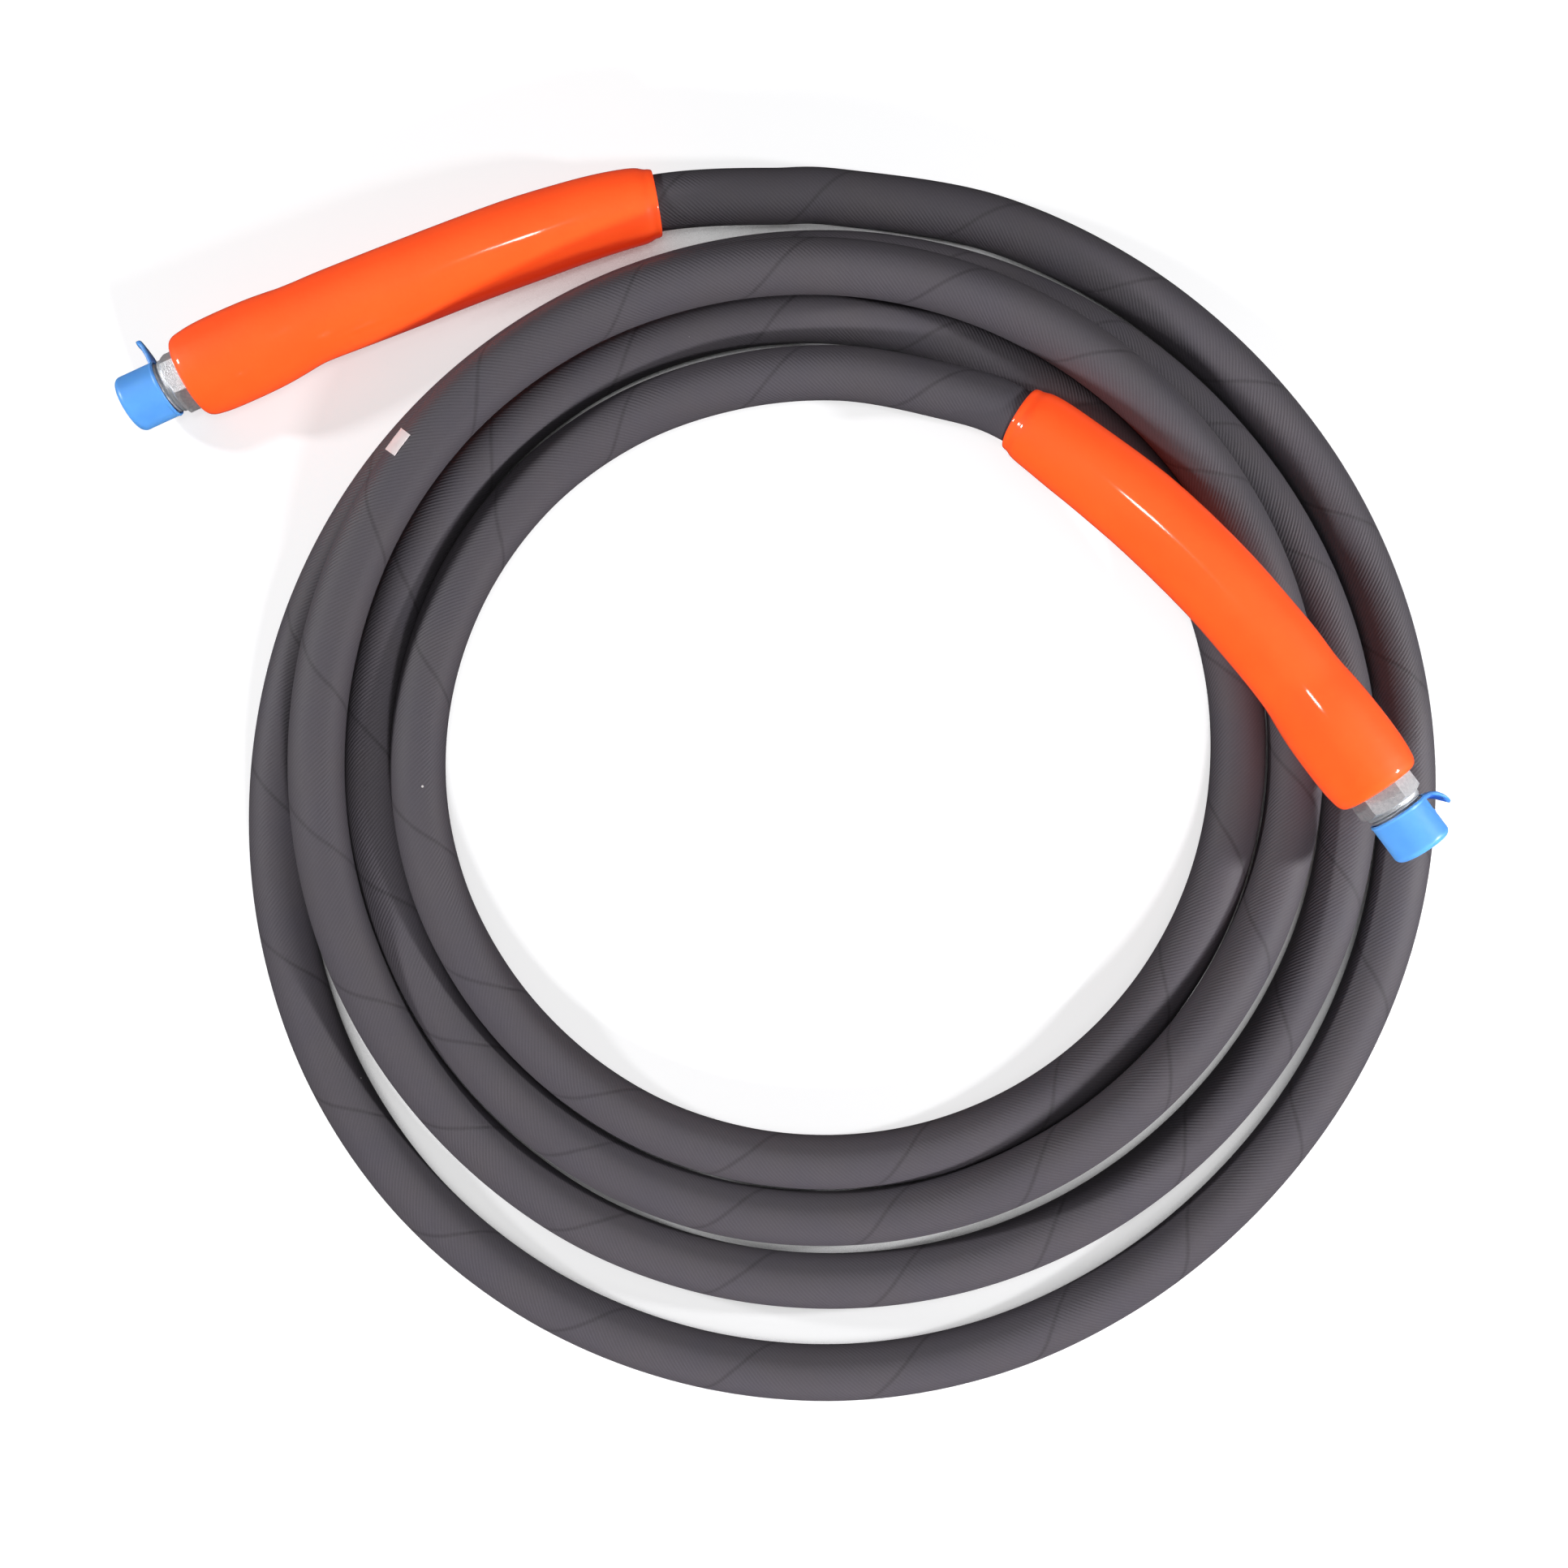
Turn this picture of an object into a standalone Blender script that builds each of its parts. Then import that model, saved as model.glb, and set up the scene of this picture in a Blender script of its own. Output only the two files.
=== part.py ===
"""Coiled hydraulic hose assembly: two-wire hose, crimped pipe-thread ends, vinyl sleeves and caps.

Metres, +Z up. The origin is on the floor, under the middle of the whole assembly.
The hose runs from end A round the coil, clockwise seen from above, to end B.
"""

import math

import bmesh
import bpy
from mathutils import Matrix, Vector

# Clearances
FIT = 0.0003  # between pieces that touch
LOOP_GAP = 0.00045  # between neighbouring loops of hose
SLEEVE_LOOSENESS = 0.0009  # sleeve's cuff round the hose

# Hose: rubber tube, wire braid and rubber cover, each six-sided
HOSE_OD = 0.0220
COVER_WALL = 0.0014
BRAID_WALL = 0.0006
TUBE_WALL = 0.000975
HOSE_SIDES = 6

# Coil
POINTS_PER_LOOP = 24
INNER_LANE_RADIUS = 0.150  # coil radius at lane 0
COIL_CENTRE = Vector((0.0243, 0.0009, 0.0))

# Fitting, the same at both ends: sizes along its axis are from sleeve A's front face
HEX_ACROSS_FLATS = 0.0222
HEX_LENGTH = 0.0094
HEX_SUNK = 0.0030  # behind sleeve A's front face
HEX_CHAMFER = 0.0009
WASHER_FACE_LENGTH = 0.0014
THREAD_DROP = 0.0006  # from the hexagon's flats to the thread's large end
THREAD_TAPER = 1 / 16  # on the diameter
THREAD_LENGTH = 0.0179
NOSE_CHAMFER = 0.0008
NECK_STEP = 0.00215  # from the tail's surface to the neck's
NECK_GROOVE_DEPTH = 0.0008
TAIL_WALL = 0.00065  # under the barbs
TAIL_SHORT = 0.0010  # the tail ends this far before the ferrule does
BARB_COUNT = 6
BARB_DEPTH = 0.0004

# Ferrule, crimped over the hose end
FERRULE_WALL = 0.0033
FERRULE_LENGTH = 0.0407
FERRULE_EDGE = 0.0008
FERRULE_FRONT_WALL = 0.0046
FERRULE_LIP = 0.0028
FERRULE_TEETH = 4
FERRULE_TOOTH_DEPTH = 0.0006
CRIMP_FLATS = 8
CRIMP_DEPTH = 0.0006
CRIMP_MARGIN = 0.0050  # left round at each end of the crimp

# Sleeve, a dip-moulded vinyl tube pushed over the ferrule
SLEEVE_LENGTH = 0.2032
SLEEVE_SET_BACK = 0.0016  # sleeve B's, further back on its fitting than sleeve A
SLEEVE_WALL = 0.0030
SLEEVE_FRONT_WALL = 0.0034  # over the ferrule
SLEEVE_ROOM = 0.0028  # round the bare hose
SLEEVE_SIDES = 16
FRONT_SHAPE = (  # distance behind the front face, drop from the bulge
    (0.0006, 0.0024),
    (0.0030, 0.0013),
    (0.0080, 0.0005),
    (0.0140, 0.0),
    (0.0300, 0.0),
)
SHOULDER_DROP = 0.0010  # from the bulge, where the ferrule ends
SHOULDER_SHAPE = (  # distance behind the ferrule, drop from the grip
    (0.010, 0.0002),
    (0.022, 0.0),
)
REAR_SHAPE = (  # distance ahead of the rear end, drop from the grip
    (0.060, 0.0),
    (0.036, 0.0006),
    (0.014, 0.0014),
)
CUFF_LENGTH = 0.0030
CUFF_SHAPE = (  # distance ahead of the rear end, share of the wall left
    (0.0045, 0.75),
    (0.0012, 0.45),
    (0.0, 0.15),
)

# Cap over the thread
CAP_WALL = 0.0006
CAP_LENGTH = 0.0174
CAP_END_WALL = 0.0010
CAP_EDGE_RADIUS = 0.0024
TAB_WIDTH = 0.0080
TAB_THICKNESS = 0.0013
TAB_REACH_A, TAB_BEND_A = 0.0112, 0.0018  # outwards, and along the cap
TAB_REACH_B, TAB_BEND_B = 0.0076, 0.0074
TAB_SHAPE = (  # along the tab: share of its reach, of its bend and of its width
    (0.00, 0.00, 1.0),
    (0.32, 0.07, 1.0),
    (0.60, 0.30, 1.0),
    (0.82, 0.63, 0.95),
    (1.00, 1.00, 0.7),
)

# Blank label on the flank of the second loop
LABEL_LENGTH = 0.0120
LABEL_THICKNESS = 0.0003
LABEL_TURN = 307.0  # degrees round the second loop
LABEL_FROM, LABEL_TO = 24.0, -42.0  # degrees above and below the outer flank

ROUND_STEPS = 24

# Where the sleeves' front faces are, as degrees turned from the top and lane, and which way
# the threads point. Sleeve A lies on the floor, and sleeve B on the inner loops.
SPOT_A = (-58.14, 7.193)
OUT_A = Vector((-0.908, -0.420, 0.0)).normalized()
SPOT_B = (90.47, 2.518)
RISE_B = 1.81  # above the floor loops, in hose widths
OUT_B = Vector((0.572, -0.814, 0.100)).normalized()
HEX_TURN_A = math.radians(-94)
HEX_TURN_B = math.radians(111)

# Hose between each fitting and the coil: degrees turned from the top, lane, and share of the
# height from the floor loops up to the fitting
LEAD_A = (
    (-44.88, 5.614, 0.939),
    (-39.84, 5.209, 0.888),
    (-34.47, 4.901, 0.857),
    (-28.88, 4.661, 0.847),
    (-23.12, 4.505, 0.796),
    (-17.62, 4.375, 0.673),
    (-12.70, 4.248, 0.510),
    (-6.51, 4.113, 0.286),
)
LEAD_B = (
    (14.82, 0.640, 0.252),
    (24.38, 0.592, 0.413),
    (36.68, 0.406, 0.552),
    (49.02, 0.463, 0.655),
    (60.83, 0.710, 0.739),
    (71.81, 1.129, 0.823),
)

# Lane of each loop every eighth of a turn, from the top, clockwise: 1 is one hose width
LANES = (
    (4.05, 3.74, 3.72, 3.77, 4.13, 4.16, 3.64, 3.24),
    (2.95, 2.70, 2.68, 2.44, 2.45, 2.70, 2.70, 2.82),
    (2.48, 1.95, 1.62, 1.08, 1.34, 1.62, 1.92, 2.17),
    (1.88, 1.23, 0.59, 0.26, 0.23, 0.58, 0.97, 1.11),
    (0.79,),
)
# Height of the same stations above the floor loops, in hose widths
HEIGHTS = (
    (0.05, 0.00, 0.00, 0.00, 0.00, 0.00, 0.00, 0.00),
    (0.00, 0.00, 0.00, 0.00, 0.00, 0.00, 0.78, 1.00),
    (0.95, 0.80, 0.20, 0.64, 0.00, 0.00, 0.00, 0.00),
    (0.00, 0.00, 0.00, 0.00, 0.00, 0.00, 0.40, 0.10),
    (0.22,),
)

# Worked out from the sizes above
LANE = HOSE_OD + LOOP_GAP
FLOOR_CUT = HOSE_OD / 10  # hose flattened where it lies on the floor
AXIS_HEIGHT = HOSE_OD / 2 - FLOOR_CUT
CORNER = 1 / math.cos(math.pi / HOSE_SIDES)  # from a flat's distance to a corner's
HOSE_WALL = COVER_WALL + BRAID_WALL + TUBE_WALL + 2 * FIT * CORNER
BORE_RADIUS = (HOSE_OD / 2 - HOSE_WALL) / CORNER  # to the flats: a round gauge passes
FERRULE_OD = HOSE_OD + 2 * (FIT + FERRULE_WALL)
THREAD_OD = HEX_ACROSS_FLATS - 2 * THREAD_DROP  # at the large end
CAP_OD = THREAD_OD + 2 * (FIT + CAP_WALL)
TAIL_RADIUS = BORE_RADIUS - FIT
NECK_RADIUS = TAIL_RADIUS + NECK_STEP
SLEEVE_BULGE = FERRULE_OD / 2 + FIT + SLEEVE_FRONT_WALL

# Along the fitting's axis, from sleeve A's front face
HEX_BACK = -HEX_SUNK
HEX_FRONT = HEX_LENGTH - HEX_SUNK
NOSE_END = HEX_FRONT + WASHER_FACE_LENGTH + THREAD_LENGTH
CAP_END = NOSE_END + FIT + CAP_END_WALL
CAP_MOUTH = CAP_END - CAP_LENGTH
FERRULE_FRONT = HEX_BACK - FIT
FERRULE_SHOULDER = FERRULE_FRONT - FERRULE_FRONT_WALL
FERRULE_END = FERRULE_FRONT - FERRULE_LENGTH
TAIL_END = FERRULE_END + TAIL_SHORT
HOSE_END = FERRULE_SHOULDER - FIT

ORANGE_VINYL = (0.95, 0.16, 0.03, 1)
BLUE_PLASTIC = (0.12, 0.36, 0.90, 1)
ZINC = (0.66, 0.67, 0.69, 1)
COVER_RUBBER = (0.045, 0.042, 0.047, 1)
TUBE_RUBBER = (0.020, 0.020, 0.020, 1)
WIRE = (0.50, 0.46, 0.36, 1)
PAPER = (0.85, 0.82, 0.82, 1)


def clear_scene():
    for thing in list(bpy.data.objects):
        bpy.data.objects.remove(thing, do_unlink=True)


def collection(name):
    made = bpy.data.collections.new(name)
    bpy.context.scene.collection.children.link(made)
    return made


def material(name, colour, roughness, metallic=0.0):
    made = bpy.data.materials.new(name)
    made.use_nodes = True
    shader = made.node_tree.nodes["Principled BSDF"]
    shader.inputs["Base Color"].default_value = colour
    shader.inputs["Roughness"].default_value = roughness
    shader.inputs["Metallic"].default_value = metallic
    return made


clear_scene()
PARTS = collection("hydraulic_hose_assembly")
CUTTERS = collection("cutters")


def place(name, mesh, finish=None, parent=None):
    """A part when it has a finish, or else a hidden cutter."""
    thing = bpy.data.objects.new(name, mesh)
    thing.parent = parent
    if finish:
        mesh.materials.append(finish)
        PARTS.objects.link(thing)
    else:
        thing.hide_render = True
        thing.display_type = "WIRE"
        CUTTERS.objects.link(thing)
    return thing


def combine(thing, operation, other):
    modifier = thing.modifiers.new(operation.lower(), "BOOLEAN")
    modifier.operation = operation
    modifier.solver = "EXACT"
    modifier.object = other


def round_radius(radius, steps=ROUND_STEPS):
    """Corner radius of a many-sided hole that a round piece of this radius passes."""
    return radius / math.cos(math.pi / steps)


def turned_mesh(name, profile, steps=ROUND_STEPS):
    """Mesh of a profile of (radius, height) turned round Z, through a Screw modifier."""
    outline = bpy.data.meshes.new(name + "_profile")
    closed = profile[0][0] > 0
    count = len(profile)
    edges = [(i, i + 1) for i in range(count - 1)]
    if closed:
        edges.append((count - 1, 0))
    outline.from_pydata([(radius, 0, height) for radius, height in profile], edges, [])
    lathe = bpy.data.objects.new(name + "_lathe", outline)
    CUTTERS.objects.link(lathe)
    screw = lathe.modifiers.new("turn", "SCREW")
    screw.axis = "Z"
    screw.steps = screw.render_steps = steps
    screw.use_merge_vertices = True
    screw.merge_threshold = 0.00001
    return frozen(lathe, name)


def frozen(source, name):
    """Evaluated mesh of an object, which is then removed."""
    bpy.context.view_layer.update()
    graph = bpy.context.evaluated_depsgraph_get()
    mesh = bpy.data.meshes.new_from_object(source.evaluated_get(graph))
    mesh.name = name
    shape = bmesh.new()
    shape.from_mesh(mesh)
    bmesh.ops.remove_doubles(shape, verts=shape.verts, dist=0.00001)
    shape.to_mesh(mesh)
    shape.free()
    bpy.data.objects.remove(source)
    return mesh


def smooth(thing, angle=35):
    thing.data.shade_smooth()
    thing.data.set_sharp_from_angle(angle=math.radians(angle))


def through(values, position):
    """Smooth curve through evenly spaced values, read at a position counted in values."""
    index = min(int(position), len(values) - 2)
    part = position - index
    before = values[max(index - 1, 0)]
    start, end = values[index], values[index + 1]
    after = values[min(index + 2, len(values) - 1)]
    return 0.5 * (
        2 * start
        + (end - before) * part
        + (2 * before - 5 * start + 4 * end - after) * part**2
        + (3 * start - before - 3 * end + after) * part**3
    )


def lane_point(turned, lane, height):
    """Point this many degrees clockwise from the coil's top, in a lane and at a height."""
    radius = INNER_LANE_RADIUS + LANE * lane
    angle = math.radians(90 - turned)
    return COIL_CENTRE + Vector((radius * math.cos(angle), radius * math.sin(angle), height))


def coil_point(turned):
    """Point of the hose's centre line after turning this many degrees from the top."""
    stations = [value for loop in LANES for value in loop]
    heights = [value for loop in HEIGHTS for value in loop]
    position = turned / 360 * len(LANES[0])
    height = AXIS_HEIGHT + LANE * max(through(heights, position), 0.0)
    return lane_point(turned, through(stations, position), height)


def lead_points(lead, fitting_height):
    """Points of a lead, whose heights are shares of the fitting's."""
    rise = fitting_height - AXIS_HEIGHT
    return [lane_point(turned, lane, AXIS_HEIGHT + share * rise) for turned, lane, share in lead]


def straight_run(rim, out):
    """Centre line inside a fitting: from the hose's end to a hose width behind the ferrule."""
    behind = FERRULE_END - HOSE_OD / 3
    return [rim + out * HOSE_END, rim + out * (HOSE_END + behind) / 2, rim + out * behind]


def hose_route(rim_a, rim_b):
    loops = len(LANES) - 1
    count = loops * POINTS_PER_LOOP
    coil = [coil_point(360 * loops * i / count) for i in range(count + 1)]
    start = straight_run(rim_a, OUT_A) + lead_points(LEAD_A, rim_a.z)
    end = lead_points(LEAD_B, rim_b.z) + straight_run(rim_b, OUT_B)[::-1]
    return start + coil + end


def smooth_path(points, parts=6):
    """The route's points with more between them, on one smooth curve."""
    path = [through(points, i / parts) for i in range((len(points) - 1) * parts)]
    return path + [points[-1]]


def path_length(path):
    return sum((b - a).length for a, b in zip(path, path[1:]))


def least_gap(points):
    """Least distance between the surfaces of stretches that aren't next to each other."""
    parts = 4
    line = [a.lerp(b, i / parts) for a, b in zip(points, points[1:]) for i in range(parts)]
    apart = parts * POINTS_PER_LOOP // 2
    least = math.inf
    for i, point in enumerate(line):
        for other in line[i + apart :]:
            least = min(least, (point - other).length)
    return least - HOSE_OD


def tube_mesh(name, points, radius):
    """Closed six-sided tube along the points, with a flat side down."""
    curve = bpy.data.curves.new(name, "CURVE")
    curve.dimensions = "3D"
    curve.twist_mode = "Z_UP"
    curve.bevel_depth = radius
    curve.bevel_resolution = (HOSE_SIDES - 4) // 2
    curve.use_fill_caps = True
    spline = curve.splines.new("POLY")
    spline.points.add(len(points) - 1)
    for knot, point in zip(spline.points, points):
        knot.co = (*point, 1.0)
    tube = bpy.data.objects.new(name, curve)
    CUTTERS.objects.link(tube)
    return frozen(tube, name)


def lengthened(points, extra):
    """The same route, run on straight past both ends, for a cutter."""
    first = points[0] + (points[0] - points[1]).normalized() * extra
    last = points[-1] + (points[-1] - points[-2]).normalized() * extra
    return [first] + points[1:-1] + [last]


def hose_layer(name, points, outer, inner, finish):
    """One concentric layer of the hose, bored out along its whole length."""
    layer = place(name, tube_mesh(name, points, outer), finish)
    bore = place(name + "_bore", tube_mesh(name + "_bore", lengthened(points, 0.002), inner))
    combine(layer, "DIFFERENCE", bore)
    smooth(layer, 40)
    return layer


def floor_cutter():
    """Slab under the floor, which flattens the hose where it lies."""
    shape = bmesh.new()
    bmesh.ops.create_cube(shape, size=1.0)
    size = Vector((1.0, 1.0, 0.02))
    bmesh.ops.scale(shape, vec=size, verts=shape.verts)
    bmesh.ops.translate(shape, vec=(0, 0, -size.z / 2), verts=shape.verts)
    mesh = bpy.data.meshes.new("floor")
    shape.to_mesh(mesh)
    shape.free()
    return place("floor", mesh)


def make_hose(points):
    cover_outer = HOSE_OD / 2
    cover_inner = cover_outer - COVER_WALL
    braid_outer = cover_inner - FIT * CORNER
    braid_inner = braid_outer - BRAID_WALL
    tube_outer = braid_inner - FIT * CORNER
    tube_inner = tube_outer - TUBE_WALL
    rubber = material("cover_rubber", COVER_RUBBER, 0.62)
    wire = material("brass_coated_wire", WIRE, 0.40, 0.9)
    nitrile = material("nitrile_rubber", TUBE_RUBBER, 0.50)
    cover = hose_layer("hose_cover", points, cover_outer, cover_inner, rubber)
    combine(cover, "DIFFERENCE", floor_cutter())
    hose_layer("wire_braid", points, braid_outer, braid_inner, wire)
    hose_layer("inner_tube", points, tube_outer, tube_inner, nitrile)


def end_frame(name, rim, out, side):
    """Empty at a sleeve's front face: its Z points out along the thread, its X to the cap's tab."""
    across = Vector((0, 0, side)).cross(out).normalized()
    turn = Matrix((across, out.cross(across), out)).transposed()
    empty = bpy.data.objects.new(name, None)
    empty.empty_display_size = 0.03
    empty.matrix_world = Matrix.Translation(rim) @ turn.to_4x4()
    PARTS.objects.link(empty)
    return empty


def hex_prism(name, turn, parent):
    """Hexagon of the fitting with its corners turned down at both ends."""
    corner = HEX_ACROSS_FLATS / 2 / math.cos(math.pi / 6)
    shape = bmesh.new()
    depth = HEX_FRONT - HEX_BACK
    bmesh.ops.create_cone(
        shape, cap_ends=True, segments=6, radius1=corner, radius2=corner, depth=depth
    )
    middle = Matrix.Translation((0, 0, (HEX_FRONT + HEX_BACK) / 2))
    bmesh.ops.transform(shape, matrix=middle @ Matrix.Rotation(turn, 4, "Z"), verts=shape.verts)
    mesh = bpy.data.meshes.new(name)
    shape.to_mesh(mesh)
    shape.free()
    prism = place(name, mesh, parent=parent)
    flat = HEX_ACROSS_FLATS / 2
    rim = round_radius(corner + FIT, 48)
    rounding = turned_mesh(
        name + "_rounding",
        [
            (0, HEX_FRONT + FIT),
            (flat - FIT, HEX_FRONT + FIT),
            (rim, HEX_FRONT - HEX_CHAMFER),
            (rim, HEX_BACK + HEX_CHAMFER),
            (flat - FIT, HEX_BACK - FIT),
            (0, HEX_BACK - FIT),
        ],
        48,
    )
    combine(prism, "INTERSECT", place(name + "_rounding", rounding, parent=parent))
    return prism


def thread_radius(height):
    """Radius of the tapered thread at a height along the fitting."""
    start = HEX_FRONT + WASHER_FACE_LENGTH
    return (THREAD_OD - (height - start) * THREAD_TAPER) / 2


def stem_profile():
    """Outside of the stem, from the nose down to the end of its barbed tail."""
    washer = HEX_ACROSS_FLATS / 2 - FIT
    washer_front = HEX_FRONT + WASHER_FACE_LENGTH
    neck = NECK_RADIUS
    groove = neck - NECK_GROOVE_DEPTH
    lip_top, lip_bottom = ferrule_lip()
    tail = TAIL_RADIUS
    profile = [
        (0, NOSE_END),
        (thread_radius(NOSE_END) - NOSE_CHAMFER, NOSE_END),
        (thread_radius(NOSE_END), NOSE_END - NOSE_CHAMFER),
        (thread_radius(washer_front), washer_front),
        (washer, washer_front),
        (washer, HEX_FRONT - FIT),
        (neck, HEX_FRONT - FIT),
        (neck, lip_top + FIT),
        (groove, lip_top + FIT),
        (groove, lip_bottom - FIT),
        (neck, lip_bottom - FIT),
        (neck, FERRULE_SHOULDER),
        (tail, FERRULE_SHOULDER),
    ]
    pitch = (FERRULE_SHOULDER - TAIL_END) / (BARB_COUNT + 1)
    for barb in range(1, BARB_COUNT + 1):
        crest = FERRULE_SHOULDER - barb * pitch
        profile += [(tail, crest), (tail - BARB_DEPTH, crest - pitch * 0.15)]
    return profile + [(tail - BARB_DEPTH, TAIL_END), (0, TAIL_END)]


def ferrule_lip():
    """Top and bottom of the ferrule's lip, which sits in the stem's groove."""
    middle = (FERRULE_FRONT + FERRULE_SHOULDER) / 2
    return middle + FERRULE_LIP / 2, middle - FERRULE_LIP / 2


def make_stem(name, turn, end, finish):
    stem = place(name, turned_mesh(name, stem_profile()), finish, end)
    combine(stem, "UNION", hex_prism(name + "_hex", turn, end))
    bore = TAIL_RADIUS - BARB_DEPTH - TAIL_WALL
    margin = 0.002
    cutter = turned_mesh(
        name + "_bore",
        [
            (0, NOSE_END + margin),
            (bore, NOSE_END + margin),
            (bore, TAIL_END - margin),
            (0, TAIL_END - margin),
        ],
    )
    combine(stem, "DIFFERENCE", place(name + "_bore", cutter, parent=end))
    smooth(stem)


def ferrule_profile():
    """Section of the ferrule's wall: outside downwards, then the toothed inside upwards."""
    outer = FERRULE_OD / 2
    edge = FERRULE_EDGE
    cavity = round_radius(HOSE_OD / 2 + FIT)
    neck = round_radius(NECK_RADIUS + FIT)
    lip = round_radius(NECK_RADIUS - NECK_GROOVE_DEPTH + FIT)
    lip_top, lip_bottom = ferrule_lip()
    profile = [
        (outer - edge, FERRULE_FRONT),
        (outer, FERRULE_FRONT - edge),
        (outer, FERRULE_END + edge),
        (outer - edge, FERRULE_END),
        (cavity + edge, FERRULE_END),
        (cavity, FERRULE_END + edge),
    ]
    pitch = (FERRULE_SHOULDER - FERRULE_END) / (FERRULE_TEETH + 1)
    for tooth in range(1, FERRULE_TEETH + 1):
        foot = FERRULE_END + tooth * pitch
        profile += [
            (cavity, foot - pitch * 0.25),
            (cavity + FERRULE_TOOTH_DEPTH, foot - pitch * 0.15),
            (cavity + FERRULE_TOOTH_DEPTH, foot + pitch * 0.15),
            (cavity, foot + pitch * 0.25),
        ]
    return profile + [
        (cavity, FERRULE_SHOULDER),
        (neck, FERRULE_SHOULDER),
        (neck, lip_bottom),
        (lip, lip_bottom),
        (lip, lip_top),
        (neck, lip_top),
        (neck, FERRULE_FRONT),
    ]


def make_ferrule(name, end, finish):
    """Shell round the hose end, squeezed by eight dies between its two round ends."""
    ferrule = place(name, turned_mesh(name, ferrule_profile()), finish, end)
    flat = round_radius(FERRULE_OD / 2 - CRIMP_DEPTH, CRIMP_FLATS)
    die = turned_mesh(
        name + "_dies",
        [
            (FERRULE_OD, FERRULE_FRONT - CRIMP_MARGIN),
            (FERRULE_OD, FERRULE_END + CRIMP_MARGIN),
            (flat, FERRULE_END + CRIMP_MARGIN),
            (flat, FERRULE_FRONT - CRIMP_MARGIN),
        ],
        CRIMP_FLATS,
    )
    combine(ferrule, "DIFFERENCE", place(name + "_dies", die, parent=end))
    smooth(ferrule)


def sleeve_outline(set_back):
    """Section of the sleeve's wall as (distance behind its front face, radius), all round."""
    grip = HOSE_OD / 2 + SLEEVE_ROOM + SLEEVE_WALL
    inside = round_radius(FERRULE_OD / 2 + FIT, SLEEVE_SIDES)
    mouth = round_radius(HEX_ACROSS_FLATS / 2 / math.cos(math.pi / 6) + FIT, SLEEVE_SIDES)
    cuff = round_radius(HOSE_OD / 2 + SLEEVE_LOOSENESS, SLEEVE_SIDES)
    ferrule = -FERRULE_END - set_back
    front = [(behind, SLEEVE_BULGE - drop) for behind, drop in FRONT_SHAPE]
    middle = [(ferrule + behind, grip - drop) for behind, drop in SHOULDER_SHAPE]
    middle += [(SLEEVE_LENGTH - ahead, grip - drop) for ahead, drop in REAR_SHAPE]
    rear = [(SLEEVE_LENGTH - ahead, cuff + SLEEVE_WALL * share) for ahead, share in CUFF_SHAPE]
    outer = [(0.0, mouth + SLEEVE_WALL * 0.6), *front, (ferrule, SLEEVE_BULGE - SHOULDER_DROP)]
    inner = [
        (SLEEVE_LENGTH, cuff),
        (SLEEVE_LENGTH - CUFF_LENGTH, cuff),
        *((behind, radius - SLEEVE_WALL) for behind, radius in reversed(middle)),
        (ferrule + FIT, inside),
        (FIT - FERRULE_FRONT - set_back, inside),
        (-HEX_BACK - FIT - set_back, mouth),
        (0.0, mouth),
    ]
    return outer + middle + rear + inner


def make_sleeve(name, path, set_back, finish):
    """Tube of changing width, bent along the hose: one ring of points for each outline point."""
    shape = bmesh.new()
    rings = []
    for behind, radius in sleeve_outline(set_back):
        centre, tangent = along(path, behind)
        side = tangent.cross(Vector((0, 0, 1))).normalized()
        up = side.cross(tangent)
        ring = []
        for i in range(SLEEVE_SIDES):
            angle = 2 * math.pi * i / SLEEVE_SIDES
            ring.append(
                shape.verts.new(centre + (side * math.cos(angle) + up * math.sin(angle)) * radius)
            )
        rings.append(ring)
    for ring, following in zip(rings, rings[1:] + rings[:1]):
        for i in range(SLEEVE_SIDES):
            j = (i + 1) % SLEEVE_SIDES
            shape.faces.new((ring[i], ring[j], following[j], following[i]))
    bmesh.ops.recalc_face_normals(shape, faces=shape.faces)
    mesh = bpy.data.meshes.new(name)
    shape.to_mesh(mesh)
    shape.free()
    smooth(place(name, mesh, finish))


def along(path, distance):
    """Point and direction of a path at a distance from its first point."""
    for start, end in zip(path, path[1:]):
        length = (end - start).length
        if distance <= length:
            break
        distance -= length
    direction = (end - start).normalized()
    return start + direction * distance, direction


def sleeve_path(rim, out, set_back, points):
    """Centre line of a sleeve: its front face, then the hose's smooth route behind it."""
    behind = FERRULE_END - HOSE_OD / 3
    straight = [rim - out * set_back, rim + out * behind]
    return straight + smooth_path(points[2:16])[6:]


def tab_mesh(name, reach, bend):
    """Tongue that stands out from the cap's rim and bends towards its closed end."""
    root = CAP_OD / 2 - CAP_WALL
    half = TAB_THICKNESS / 2
    curve = bpy.data.curves.new(name, "CURVE")
    curve.dimensions = "3D"
    curve.bevel_depth = half
    curve.bevel_resolution = 1
    curve.extrude = TAB_WIDTH / 2 - half
    curve.use_fill_caps = True
    spline = curve.splines.new("POLY")
    spline.points.add(len(TAB_SHAPE) - 1)
    for knot, (outward, along_cap, width) in zip(spline.points, TAB_SHAPE):
        knot.co = (root + outward * (reach + CAP_WALL), half + along_cap * bend, 0, 1)
        knot.radius = width
    tab = bpy.data.objects.new(name, curve)
    CUTTERS.objects.link(tab)
    mesh = frozen(tab, name)
    mesh.transform(Matrix.Translation((0, 0, CAP_MOUTH)) @ Matrix.Rotation(math.pi / 2, 4, "X"))
    return mesh


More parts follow.
